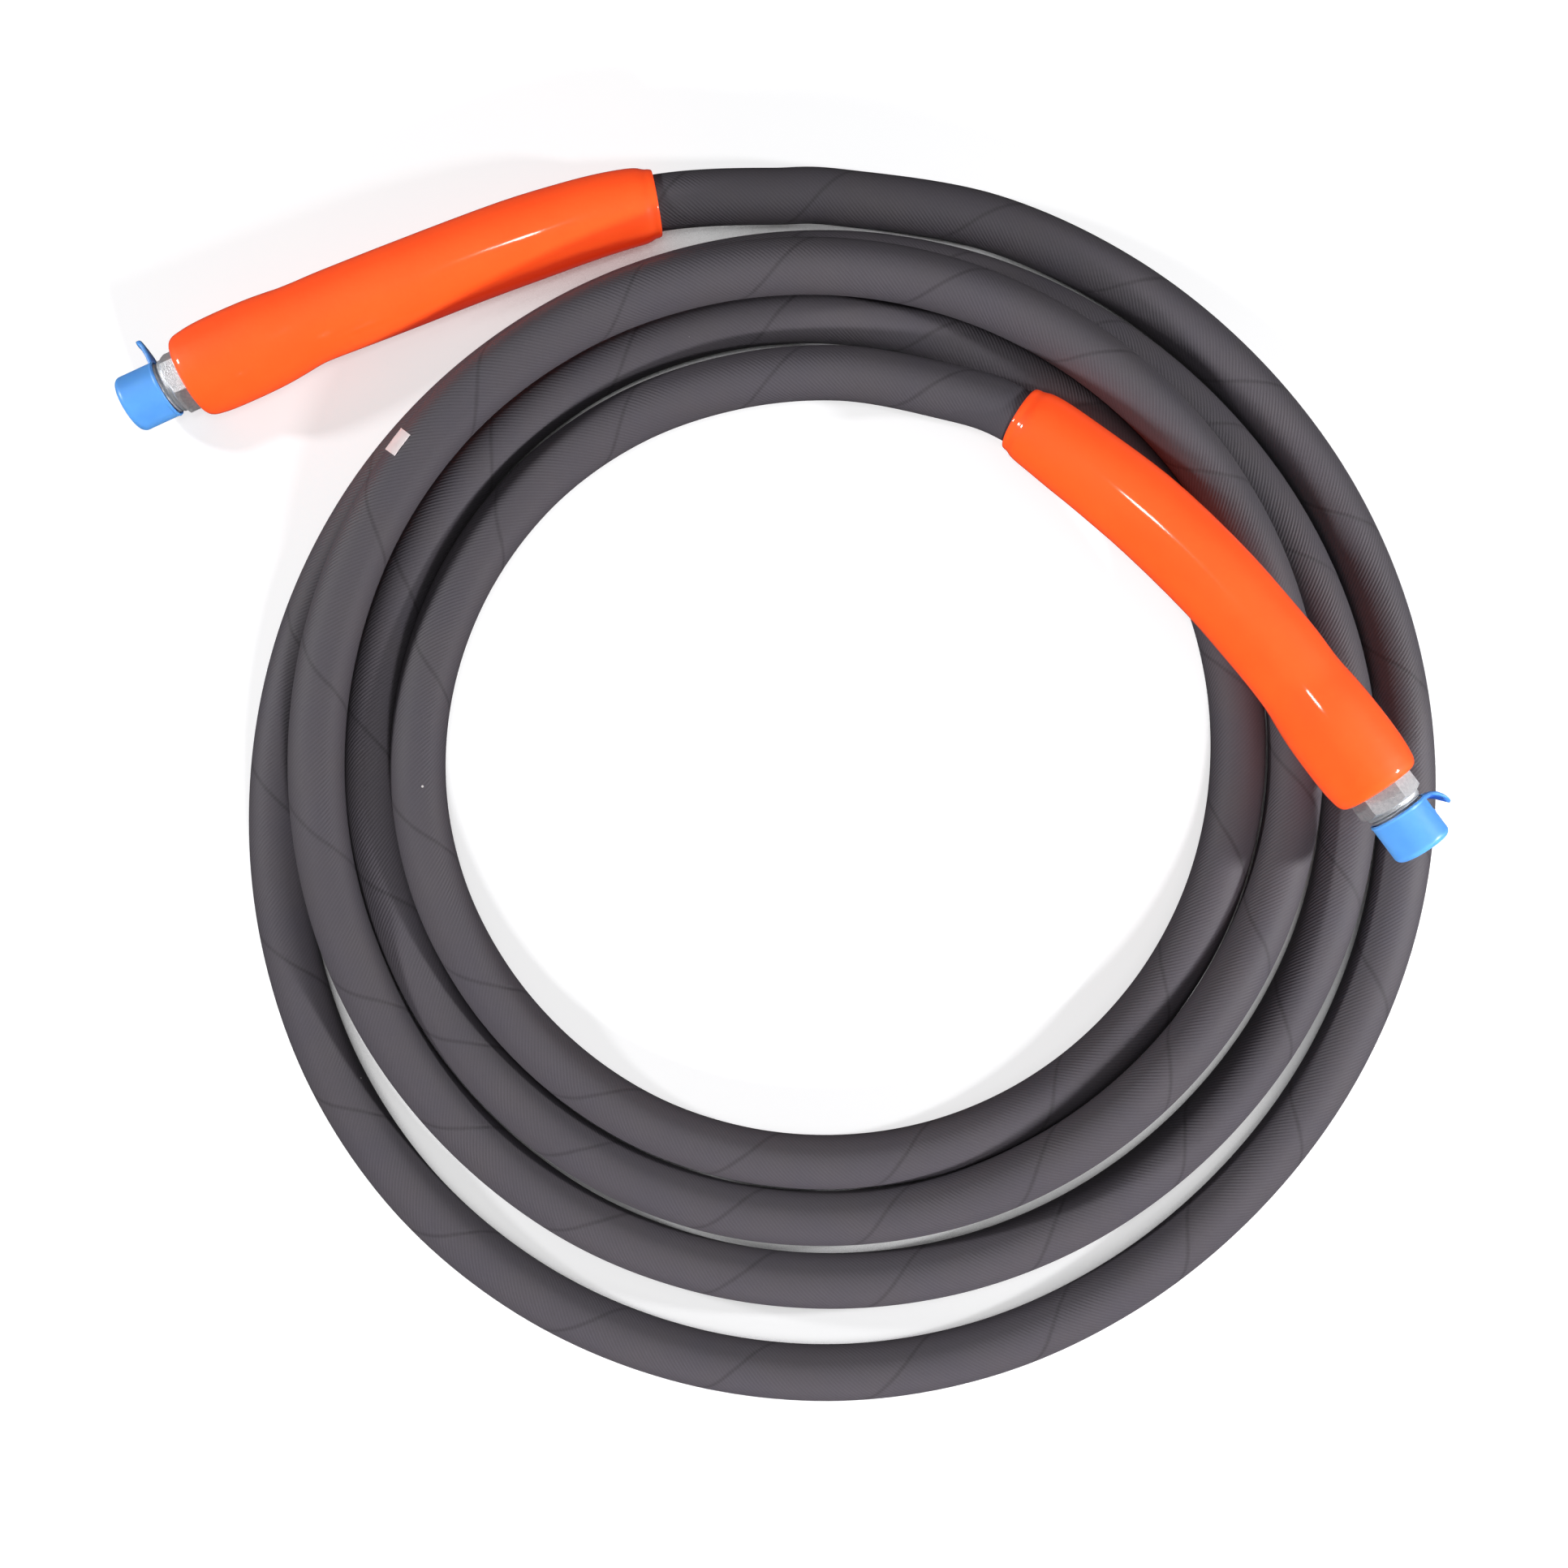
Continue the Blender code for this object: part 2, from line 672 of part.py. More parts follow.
def make_cap(name, reach, bend, end, finish):
    """Push-on cap over the thread, with a pull tab at its mouth."""
    outer = CAP_OD / 2
    edge = CAP_EDGE_RADIUS
    rounding = [
        (outer - edge + edge * math.sin(turn), CAP_END - edge + edge * math.cos(turn))
        for turn in (math.pi * i / 8 for i in range(5))
    ]
    outside = [(0, CAP_END)] + rounding + [(outer, CAP_MOUTH), (0, CAP_MOUTH)]
    cap = place(name, turned_mesh(name, outside), finish, end)
    tab = tab_mesh(name + "_tab", reach, bend)
    combine(cap, "UNION", place(name + "_tab", tab, parent=end))
    mouth = round_radius(outer - CAP_WALL)
    floor = CAP_END - CAP_END_WALL
    narrowing = (CAP_LENGTH - CAP_END_WALL) * THREAD_TAPER / 2
    inside = turned_mesh(
        name + "_inside",
        [
            (0, floor),
            (mouth - narrowing - NOSE_CHAMFER, floor),
            (mouth - narrowing, floor - NOSE_CHAMFER),
            (mouth + 0.002 * THREAD_TAPER, CAP_MOUTH - 0.002),
            (0, CAP_MOUTH - 0.002),
        ],
    )
    combine(cap, "DIFFERENCE", place(name + "_inside", inside, parent=end))
    smooth(cap)


def flat_distance(angle):
    """Distance from the hose's axis to its six-sided surface, at an angle above its side corner."""
    from_flat = angle % (2 * math.pi / HOSE_SIDES) - math.pi / HOSE_SIDES
    return HOSE_OD / 2 / CORNER / math.cos(from_flat)


def make_label(finish):
    """Blank label round the hose's outer flank, midway between two points of the route."""
    step = 360 / POINTS_PER_LOOP
    before = 360 + LABEL_TURN // step * step
    first, second = coil_point(before), coil_point(before + step)
    middle = (first + second) / 2
    tangent = (second - first).normalized()
    side = tangent.cross(Vector((0, 0, 1))).normalized()
    side *= math.copysign(1, side.dot(middle - COIL_CENTRE))
    up = Vector((0, 0, 1)) - tangent * tangent.z
    up.normalize()
    shape = bmesh.new()
    rings = []
    for end in (-LABEL_LENGTH / 2, LABEL_LENGTH / 2):
        for lift in (FIT, FIT + LABEL_THICKNESS):
            ring = []
            for degrees in (LABEL_FROM, LABEL_FROM / 2, 0.0, LABEL_TO / 2, LABEL_TO):
                angle = math.radians(degrees)
                away = flat_distance(angle) + lift * CORNER
                outward = side * math.cos(angle) + up * math.sin(angle)
                ring.append(shape.verts.new(middle + tangent * end + outward * away))
            rings.append(ring)
    lower, upper, far_lower, far_upper = rings
    loop = lower + upper[::-1]
    far_loop = far_lower + far_upper[::-1]
    count = len(loop)
    for i in range(count):
        j = (i + 1) % count
        shape.faces.new((loop[i], loop[j], far_loop[j], far_loop[i]))
    for near, far in ((lower, upper), (far_lower, far_upper)):
        for i in range(len(near) - 1):
            shape.faces.new((near[i], near[i + 1], far[i + 1], far[i]))
    bmesh.ops.recalc_face_normals(shape, faces=shape.faces)
    mesh = bpy.data.meshes.new("hose_label")
    shape.to_mesh(mesh)
    shape.free()
    place("hose_label", mesh, finish)


def main():
    rim_a = lane_point(*SPOT_A, SLEEVE_BULGE + FIT)
    rim_b = lane_point(*SPOT_B, AXIS_HEIGHT + RISE_B * LANE) + OUT_B * SLEEVE_SET_BACK
    points = hose_route(rim_a, rim_b)
    print(f"hose length {path_length(smooth_path(points)):.3f} m")
    print(f"least gap between the hose's loops {least_gap(points) * 1000:.2f} mm")
    make_hose(points)
    zinc = material("zinc_plated_steel", ZINC, 0.32, 1.0)
    vinyl = material("orange_vinyl", ORANGE_VINYL, 0.22)
    plastic = material("blue_plastic", BLUE_PLASTIC, 0.38)
    make_label(material("label_paper", PAPER, 0.7))
    end_a = end_frame("end_a", rim_a, OUT_A, -1)
    end_b = end_frame("end_b", rim_b, OUT_B, 1)
    make_stem("fitting_stem_a", HEX_TURN_A, end_a, zinc)
    make_stem("fitting_stem_b", HEX_TURN_B, end_b, zinc)
    make_ferrule("crimp_ferrule_a", end_a, zinc)
    make_ferrule("crimp_ferrule_b", end_b, zinc)
    path_a = sleeve_path(rim_a, OUT_A, 0.0, points)
    path_b = sleeve_path(rim_b, OUT_B, SLEEVE_SET_BACK, points[::-1])
    make_sleeve("hose_sleeve_a", path_a, 0.0, vinyl)
    make_sleeve("hose_sleeve_b", path_b, SLEEVE_SET_BACK, vinyl)
    make_cap("thread_cap_a", TAB_REACH_A, TAB_BEND_A, end_a, plastic)
    make_cap("thread_cap_b", TAB_REACH_B, TAB_BEND_B, end_b, plastic)


main()
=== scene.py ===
"""Coiled hydraulic hose: camera and studio, the hose, then its two ends in the order of assembly.

Metres, +Z up. The hose runs from end A round the coil, clockwise seen from above, to end B.
"""

import math

import bpy
import numpy as np
from mathutils import Matrix, Vector


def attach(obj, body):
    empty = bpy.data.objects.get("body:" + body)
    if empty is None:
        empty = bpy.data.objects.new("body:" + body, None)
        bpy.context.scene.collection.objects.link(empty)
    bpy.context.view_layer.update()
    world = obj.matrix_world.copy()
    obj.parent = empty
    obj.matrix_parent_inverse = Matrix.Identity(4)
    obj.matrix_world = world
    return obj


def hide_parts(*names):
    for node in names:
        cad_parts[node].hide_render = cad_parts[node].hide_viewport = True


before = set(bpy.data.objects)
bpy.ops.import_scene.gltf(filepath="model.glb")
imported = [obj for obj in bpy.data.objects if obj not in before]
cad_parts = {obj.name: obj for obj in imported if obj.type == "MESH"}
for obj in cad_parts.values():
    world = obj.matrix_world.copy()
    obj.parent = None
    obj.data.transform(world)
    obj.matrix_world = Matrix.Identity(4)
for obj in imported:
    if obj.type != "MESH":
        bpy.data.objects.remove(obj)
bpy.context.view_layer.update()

# Camera. It looks straight down on the coil from 0.65 m, with +Y towards the picture's top, and
# its square frame takes in 644 mm at the height of the hose's axis.
CAMERA_PLACE = (0.0011, 0.0006, 0.650)
CAMERA_ANGLE = 2 * math.atan(0.322 / 0.639)

bpy.ops.object.select_all(action="DESELECT")
bpy.ops.object.camera_add(location=CAMERA_PLACE, rotation=(0, 0, 0))
camera = bpy.context.object
camera.data.angle = CAMERA_ANGLE
bpy.context.scene.camera = camera
bpy.context.scene.view_settings.view_transform = "Standard"

# Studio. A pale table top and wall that glow a little, three lamps low round the coil, which shade
# its loops, two weak soft boxes overhead, and a flash near the camera that makes the glints. The
# table doesn't shine back on the hose, whose loops are darkest where they turn down to it.
FLOOR_SIZE = 6.4
WALL_RADIUS, WALL_HEIGHT = 3.0, 3.0
FLOOR_COLOUR = "BCBCBE"
FLOOR_GLOW = 0.62
ROOM_COLOUR = "FFFFFF"
ROOM_STRENGTH = 0.06
LIGHTS = (  # name, place, width, watts, seen in reflections
    ("overhead", (0.35, -0.15, 1.60), 0.70, 1.6, False),
    ("wide_and_dim", (0.10, 0.30, 1.90), 1.60, 2.0, False),
    ("flash", (-0.050, 0.080, 0.700), 0.06, 0.42, True),
    ("lamp_left", (-1.050, 0.300, 0.560), 0.12, 7.6, True),
    ("lamp_right", (0.780, 0.000, 0.420), 0.08, 5.2, True),
    ("lamp_below", (0.100, -1.000, 0.600), 0.16, 12.5, False),
)


def linear(code):
    """Linear colour of an sRGB hex value."""
    shares = [int(code[i : i + 2], 16) / 255 for i in (0, 2, 4)]
    return (*(c / 12.92 if c <= 0.04045 else ((c + 0.055) / 1.055) ** 2.4 for c in shares), 1)


def add_node(material, kind, inputs=None, **settings):
    """Adds a node. An input's value is a constant, or the socket that it is linked from."""
    tree = material.node_tree
    node = tree.nodes.new("ShaderNode" + kind)
    for name, value in settings.items():
        setattr(node, name, value)
    for name, value in (inputs or {}).items():
        if isinstance(value, bpy.types.NodeSocket):
            tree.links.new(value, node.inputs[name])
        else:
            node.inputs[name].default_value = value
    return node


def new_material(name, **sockets):
    """Material with constants on its Principled sockets, each named with underscores."""
    material = bpy.data.materials.new(name)
    material.use_nodes = True
    shader = material.node_tree.nodes["Principled BSDF"]
    for socket, value in sockets.items():
        shader.inputs[socket.replace("_", " ")].default_value = value
    return material


def link_shader(material, **sockets):
    """Links outputs to the material's Principled sockets."""
    shader = material.node_tree.nodes["Principled BSDF"]
    for socket, output in sockets.items():
        material.node_tree.links.new(output, shader.inputs[socket.replace("_", " ")])


# Painted table top: matt, with a faint cloudiness.
floor_paint = new_material("matt_table_paint", Roughness=0.85, Emission_Color=(1, 1, 1, 1))
floor_place = add_node(floor_paint, "TexCoord").outputs["Object"]
floor_cloud = add_node(
    floor_paint, "TexNoise", {"Vector": floor_place, "Scale": 3.0, "Detail": 2.0}
)
floor_mix = add_node(
    floor_paint,
    "Mix",
    {"Factor": floor_cloud.outputs["Fac"], "A": linear(FLOOR_COLOUR), "B": linear("B6B6B8")},
    data_type="RGBA",
)
# Its glow fades in the narrow slits between the loops: a painted shade, standing in for the light
# that fades there.
floor_open = add_node(floor_paint, "AmbientOcclusion", {"Distance": 0.030}, samples=8).outputs["AO"]
# painted shade: the glow is taken away where the loops close over the table
floor_glow = add_node(
    floor_paint,
    "MapRange",
    {"Value": floor_open, "From Min": 0.10, "From Max": 0.32, "To Max": FLOOR_GLOW},
    interpolation_type="SMOOTHSTEP",
).outputs["Result"]
link_shader(floor_paint, Base_Color=floor_mix.outputs["Result"], Emission_Strength=floor_glow)

bpy.ops.object.select_all(action="DESELECT")
bpy.ops.mesh.primitive_plane_add(size=FLOOR_SIZE, location=(0, 0, 0))
floor = bpy.context.object
floor.name = "table_top"
bpy.ops.object.select_all(action="DESELECT")
bpy.ops.mesh.primitive_cylinder_add(
    vertices=64,
    radius=WALL_RADIUS,
    depth=WALL_HEIGHT,
    end_fill_type="NOTHING",
    location=(0, 0, WALL_HEIGHT / 2),
)
bpy.ops.object.transform_apply(location=True, rotation=True, scale=True)
wall = bpy.context.object
wall.name = "pale_wall"
for surface in (floor, wall):
    surface.data.materials.append(floor_paint)
    surface.visible_diffuse = surface.visible_glossy = False
wall.visible_shadow = False

for name, place, width, watts, mirrored in LIGHTS:
    bpy.ops.object.light_add(type="AREA", location=place)
    lamp = bpy.context.object
    lamp.name = name
    lamp.data.shape = "DISK"
    lamp.data.size = width
    lamp.data.energy = watts
    lamp.visible_glossy = mirrored
    lamp.rotation_euler = (-Vector(place)).to_track_quat("-Z", "Y").to_euler()

room = bpy.data.worlds.new("pale_room")
room.use_nodes = True
room.node_tree.nodes["Background"].inputs["Color"].default_value = linear(ROOM_COLOUR)
room.node_tree.nodes["Background"].inputs["Strength"].default_value = ROOM_STRENGTH
bpy.context.scene.world = room

# Hose cover. Black-grey synthetic rubber over two wire braids, 22 mm across and 5.6 m long. It is
# wound with damp nylon tape while it cures, which leaves a cloth impression and a helical seam. It
# lies in four loops, and its underside is flattened where it rests on the table.
HOSE_RADIUS = 0.0110
COVER_BORE = 0.0096
HOSE_GIRTH = 2 * math.pi * HOSE_RADIUS
LANE = 0.02245  # one hose width and its gap
AXIS_HEIGHT = 0.0088
INNER_LANE_RADIUS = 0.150
COIL_CENTRE = Vector((0.0243, 0.0009, 0.0))
POINTS_PER_LOOP = 24
HOSE_END = -0.0082  # from sleeve A's front face
STRAIGHT_END = -0.0513  # where the hose may start to bend
RIM_HEIGHT_A = 0.0186
RIM_HEIGHT_B = AXIS_HEIGHT + 1.81 * LANE
OUT_A = Vector((-0.908, -0.420, 0.0)).normalized()
OUT_B = Vector((0.572, -0.814, 0.100)).normalized()
SLEEVE_SET_BACK = 0.0016  # sleeve B's, further back on its fitting than sleeve A
LEAD_A = (  # degrees turned from the top, lane, share of the rise to the fitting
    (-44.88, 5.614, 0.939),
    (-39.84, 5.209, 0.888),
    (-34.47, 4.901, 0.857),
    (-28.88, 4.661, 0.847),
    (-23.12, 4.505, 0.796),
    (-17.62, 4.375, 0.673),
    (-12.70, 4.248, 0.510),
    (-6.51, 4.113, 0.286),
)
LEAD_B = (
    (14.82, 0.640, 0.252),
    (24.38, 0.592, 0.413),
    (36.68, 0.406, 0.552),
    (49.02, 0.463, 0.655),
    (60.83, 0.710, 0.739),
    (71.81, 1.129, 0.823),
)
LANES = (  # each loop's lane every eighth of a turn, clockwise from the top
    (4.05, 3.74, 3.72, 3.77, 4.13, 4.16, 3.64, 3.24),
    (2.95, 2.70, 2.68, 2.44, 2.45, 2.66, 2.70, 2.82),
    (2.48, 1.95, 1.59, 1.08, 1.30, 1.62, 1.92, 2.17),
    (1.88, 1.23, 0.59, 0.26, 0.27, 0.61, 0.97, 1.11),
    (0.79,),
)
HEIGHTS = (  # of the same stations above the table loops, in lanes
    (0.05, 0.00, 0.00, 0.00, 0.00, 0.00, 0.00, 0.00),
    (0.00, 0.00, 0.00, 0.00, 0.00, 0.00, 0.78, 1.00),
    (0.95, 0.80, 0.20, 0.64, 0.00, 0.00, 0.00, 0.00),
    (0.00, 0.00, 0.00, 0.00, 0.00, 0.00, 0.40, 0.10),
    (0.22,),
)
POINTS_BETWEEN = 12
HOSE_SIDES = 32
BORE_EVERY = 3  # of the outside's rings has one inside, as nothing shows there
FLAT_COVER, FLAT_BORE = 0.0001, 0.0005  # lowest points of the cover's outside and inside


def through(values, position):
    """Smooth curve through evenly spaced values, read at a position counted in values."""
    index = min(int(position), len(values) - 2)
    part = position - index
    before = values[max(index - 1, 0)]
    start, end = values[index], values[index + 1]
    after = values[min(index + 2, len(values) - 1)]
    return 0.5 * (
        2 * start
        + (end - before) * part
        + (2 * before - 5 * start + 4 * end - after) * part**2
        + (3 * start - before - 3 * end + after) * part**3
    )


def lane_point(turned, lane, height):
    """Point this many degrees clockwise from the coil's top, in a lane and at a height."""
    radius = INNER_LANE_RADIUS + LANE * lane
    angle = math.radians(90 - turned)
    return COIL_CENTRE + Vector((radius * math.cos(angle), radius * math.sin(angle), height))


def lead_points(lead, fitting_height):
    rise = fitting_height - AXIS_HEIGHT
    return [lane_point(turned, lane, AXIS_HEIGHT + share * rise) for turned, lane, share in lead]


def coil_points():
    stations = [value for loop in LANES for value in loop]
    heights = [value for loop in HEIGHTS for value in loop]
    per_station = POINTS_PER_LOOP / len(LANES[0])
    points = []
    for i in range(POINTS_PER_LOOP * (len(LANES) - 1) + 1):
        height = AXIS_HEIGHT + LANE * max(through(heights, i / per_station), 0.0)
        lane = through(stations, i / per_station)
        points.append(lane_point(i * 360 / POINTS_PER_LOOP, lane, height))
    return points


def hose_line(rim_a, rim_b):
    """Centre line of the hose: straight in each fitting, and a smooth curve between them."""
    knots = [rim_a + OUT_A * (HOSE_END + STRAIGHT_END) / 2, rim_a + OUT_A * STRAIGHT_END]
    knots += lead_points(LEAD_A, rim_a.z) + coil_points() + lead_points(LEAD_B, rim_b.z)
    knots += [rim_b + OUT_B * STRAIGHT_END, rim_b + OUT_B * (HOSE_END + STRAIGHT_END) / 2]
    steps = range(POINTS_BETWEEN, (len(knots) - 2) * POINTS_BETWEEN + 1)
    middle = [through(knots, i / POINTS_BETWEEN) for i in steps]
    start, end = rim_a + OUT_A * HOSE_END, rim_b + OUT_B * HOSE_END
    first = [start.lerp(middle[0], i / POINTS_BETWEEN) for i in range(POINTS_BETWEEN)]
    last = [middle[-1].lerp(end, (i + 1) / POINTS_BETWEEN) for i in range(POINTS_BETWEEN)]
    return first + middle + last


def lengths_along(line):
    steps = np.linalg.norm(np.diff(np.asarray(line), axis=0), axis=1)
    return np.concatenate([[0.0], np.cumsum(steps)])


def rings_along(line, distances, radii, sides):
    """Rings round a line at distances from its start, each from its underside round. A row of
    radii has one for all of its ring, or one for each side."""
    line = np.asarray(line)
    tangent = np.gradient(line, axis=0)
    side = np.cross(tangent, (0.0, 0.0, 1.0))
    side /= np.linalg.norm(side, axis=1)[:, None]
    up = np.cross(side, tangent)
    up /= np.linalg.norm(up, axis=1)[:, None]
    reached = lengths_along(line)
    centre, side, up = (
        np.stack([np.interp(distances, reached, vectors[:, k]) for k in range(3)], axis=1)
        for vectors in (line, side, up)
    )
    angles = 2 * math.pi * np.arange(sides) / sides - math.pi / 2
    outward = side[:, None] * np.cos(angles)[:, None] + up[:, None] * np.sin(angles)[:, None]
    return centre[:, None] + outward * np.asarray(radii, float).reshape(len(centre), -1, 1)


def rolled_grid(name, rings, lengths=None):
    """Grid primitive rolled through rings of points, whose seam and meeting ends are merged."""
    rings = np.asarray(rings)
    rows, columns = rings.shape[:2]
    bpy.ops.object.select_all(action="DESELECT")
    bpy.ops.mesh.primitive_grid_add(x_subdivisions=columns, y_subdivisions=rows - 1, size=1)
    piece = bpy.context.object
    piece.name = piece.data.name = name
    points = np.concatenate([rings, rings[:, :1]], axis=1)
    piece.data.vertices.foreach_set("co", points.ravel())
    if lengths is not None:
        index = np.zeros(len(piece.data.loops), np.int32)
        piece.data.loops.foreach_get("vertex_index", index)
        turns = index % (columns + 1) / columns
        uv = np.stack([turns, np.asarray(lengths)[index // (columns + 1)]], axis=1)
        piece.data.uv_layers[0].data.foreach_set("uv", uv.ravel())
    bpy.ops.object.mode_set(mode="EDIT")
    bpy.ops.mesh.select_all(action="SELECT")
    bpy.ops.mesh.remove_doubles(threshold=0.000001)
    bpy.ops.mesh.normals_make_consistent(inside=False)
    bpy.ops.object.mode_set(mode="OBJECT")
    return piece


def smoothed(piece, degrees):
    """Shades a piece smooth except at edges sharper than this."""
    bpy.ops.object.select_all(action="DESELECT")
    piece.select_set(True)
    bpy.context.view_layer.objects.active = piece
    bpy.ops.object.shade_smooth_by_angle(angle=math.radians(degrees))
    return piece


rim_a = lane_point(-58.14, 7.193, RIM_HEIGHT_A)
rim_b = lane_point(90.47, 2.518, RIM_HEIGHT_B) + OUT_B * SLEEVE_SET_BACK
hose_path = hose_line(rim_a, rim_b)
hose_reached = lengths_along(hose_path)

outside = rings_along(hose_path, hose_reached, [HOSE_RADIUS] * len(hose_path), HOSE_SIDES)
outside[:, :, 2] = np.maximum(outside[:, :, 2], FLAT_COVER)
bore_reached = np.append(hose_reached[:0:-BORE_EVERY], 0.0)
bore = rings_along(hose_path, bore_reached, [COVER_BORE] * len(bore_reached), HOSE_SIDES)
bore[:, :, 2] = np.maximum(bore[:, :, 2], FLAT_BORE)
hose = rolled_grid(
    "hose",
    np.concatenate([outside, bore, outside[:1]]),
    np.concatenate([hose_reached, bore_reached, [0.0]]) / HOSE_GIRTH,
)
smoothed(hose, 50)

# Wrapped rubber: semi-matt, with a twill impression at 45 degrees, darker tape seams 66 mm apart
# and a few white lint specks.
TWILL_RIBS_ROUND = 38  # the real one has 44, 1.1 mm apart; drawn coarser, so that they show
SEAM_PITCH = 0.066
SEAM_WIDTH = 0.0013

cover_rubber = new_material(
    "tape_wrapped_rubber", Roughness=0.62, Specular_IOR_Level=0.35, IOR=1.52
)
cover_uv = add_node(cover_rubber, "UVMap").outputs["UV"]
cover_place = add_node(cover_rubber, "TexCoord").outputs["Object"]
cover_axes = add_node(cover_rubber, "SeparateXYZ", {"Vector": cover_uv})
turn, run = cover_axes.outputs["X"], cover_axes.outputs["Y"]

# Seam: a left-hand helix that wanders a little, and its distance from each point.
wander = add_node(cover_rubber, "TexNoise", {"Vector": cover_place, "Scale": 14.0, "Detail": 2.0})
wander = add_node(
    cover_rubber, "Math", {0: wander.outputs["Fac"], 1: 0.16, 2: -0.08}, operation="MULTIPLY_ADD"
)
helix = add_node(
    cover_rubber, "Math", {0: run, 1: -HOSE_GIRTH / SEAM_PITCH, 2: turn}, operation="MULTIPLY_ADD"
)
helix = add_node(
    cover_rubber, "Math", {0: helix.outputs[0], 1: wander.outputs[0]}, operation="ADD"
)
helix = add_node(cover_rubber, "Math", {0: helix.outputs[0]}, operation="FRACT")
seam_away = add_node(cover_rubber, "Math", {0: helix.outputs[0], 1: 0.5}, operation="SUBTRACT")
seam_away = add_node(cover_rubber, "Math", {0: seam_away.outputs[0]}, operation="ABSOLUTE")
seam_slant = math.cos(math.atan(SEAM_PITCH / HOSE_GIRTH)) * SEAM_PITCH
seam_line = add_node(
    cover_rubber,
    "MapRange",
    {
        "Value": seam_away.outputs[0],
        "From Max": SEAM_WIDTH / seam_slant,
        "To Min": 1.0,
        "To Max": 0.0,
    },
    interpolation_type="SMOOTHSTEP",
).outputs["Result"]

# Twill: slanting ribs, a whole number of them round the hose.
rib = add_node(cover_rubber, "Math", {0: turn, 1: run}, operation="ADD")
rib = add_node(
    cover_rubber,
    "Math",
    {0: rib.outputs[0], 1: 2 * math.pi * TWILL_RIBS_ROUND},
    operation="MULTIPLY",
)
rib = add_node(cover_rubber, "Math", {0: rib.outputs[0]}, operation="SINE")
patchy = add_node(cover_rubber, "TexNoise", {"Vector": cover_place, "Scale": 30.0, "Detail": 2.0})
rib = add_node(
    cover_rubber, "Math", {0: rib.outputs[0], 1: patchy.outputs["Fac"]}, operation="MULTIPLY"
).outputs[0]

# Lint: one speck in each 30 mm cell, which shows only where it falls on the surface.
lint = add_node(cover_rubber, "TexVoronoi", {"Vector": cover_place, "Scale": 34.0}, feature="F1")
lint = add_node(
    cover_rubber, "Math", {0: lint.outputs["Distance"], 1: 0.016}, operation="LESS_THAN"
).outputs[0]

# Colour: cloudy dark grey, browner in patches, darker at seams, with a painted highlight on the
# ribs.
cloud = add_node(cover_rubber, "TexNoise", {"Vector": cover_place, "Scale": 45.0, "Detail": 4.0})
grain = add_node(cover_rubber, "TexNoise", {"Vector": cover_place, "Scale": 1800.0, "Detail": 2.0})
shade = linear("4E4B54")
for pattern, strength, colour in (
    (cloud.outputs["Fac"], 1.0, "565154"),
    (grain.outputs["Fac"], 0.35, "3C393D"),
    (seam_line, 0.40, "2A2729"),
    # painted highlight on the ribs' crests, where light catches them
    (rib, 0.20, "7C7880"),
    (lint, 1.0, "C9C4C4"),
):
    factor = add_node(cover_rubber, "Math", {0: pattern, 1: strength}, operation="MULTIPLY")
    shade = add_node(
        cover_rubber,
        "Mix",
        {"Factor": factor.outputs[0], "A": shade, "B": linear(colour)},
        data_type="RGBA",
    ).outputs["Result"]

# Relief, in metres: the seams' grooves, the ribs and a fine grain.
relief = 0.0
for pattern, height in ((seam_line, -0.00012), (rib, 0.00010), (grain.outputs["Fac"], 0.00006)):
    relief = add_node(
        cover_rubber, "Math", {0: pattern, 1: height, 2: relief}, operation="MULTIPLY_ADD"
    ).outputs[0]
cover_bump = add_node(cover_rubber, "Bump", {"Height": relief, "Distance": 1.0, "Strength": 0.8})
link_shader(cover_rubber, Base_Color=shade, Normal=cover_bump.outputs["Normal"])
hose.data.materials.append(cover_rubber)
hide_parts("hose_cover")
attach(hose, "hose")

# Label. A blank strip of white film, 10 mm wide, stuck round the outer flank of the second loop.
LABEL_PLACE = 54.5  # in knots of the hose's line
LABEL_LENGTH = 0.0100
LABEL_THICKNESS = 0.0003
LABEL_RADIUS = HOSE_RADIUS + 0.0001
LABEL_ROWS = 9
LABEL_SIDES = 120  # of a whole ring, counted from its underside round the coil's outer flank
LABEL_FROM, LABEL_TO = 67, 90

label_point = round(LABEL_PLACE * POINTS_BETWEEN)
label_ends = np.array((-LABEL_LENGTH / 2, LABEL_LENGTH / 2)) + hose_reached[label_point]
label_reached = np.linspace(*label_ends, LABEL_ROWS)
label_rings = rings_along(hose_path, label_reached, [LABEL_RADIUS] * LABEL_ROWS, LABEL_SIDES)
bpy.ops.object.select_all(action="DESELECT")
bpy.ops.mesh.primitive_grid_add(
    x_subdivisions=LABEL_TO - LABEL_FROM, y_subdivisions=LABEL_ROWS - 1, size=1
)
label = bpy.context.object
label.name = label.data.name = "blank_label"
label.data.vertices.foreach_set("co", label_rings[:, LABEL_FROM : LABEL_TO + 1].ravel())
bpy.ops.object.mode_set(mode="EDIT")
bpy.ops.mesh.select_all(action="SELECT")
bpy.ops.mesh.normals_make_consistent(inside=False)
bpy.ops.object.mode_set(mode="OBJECT")
if label.data.polygons[0].normal.dot(label.data.vertices[0].co - hose_path[label_point]) < 0:
    label.data.flip_normals()
film = label.modifiers.new("film", "SOLIDIFY")
film.thickness, film.offset = LABEL_THICKNESS, 1.0
bpy.ops.object.modifier_apply(modifier=film.name)

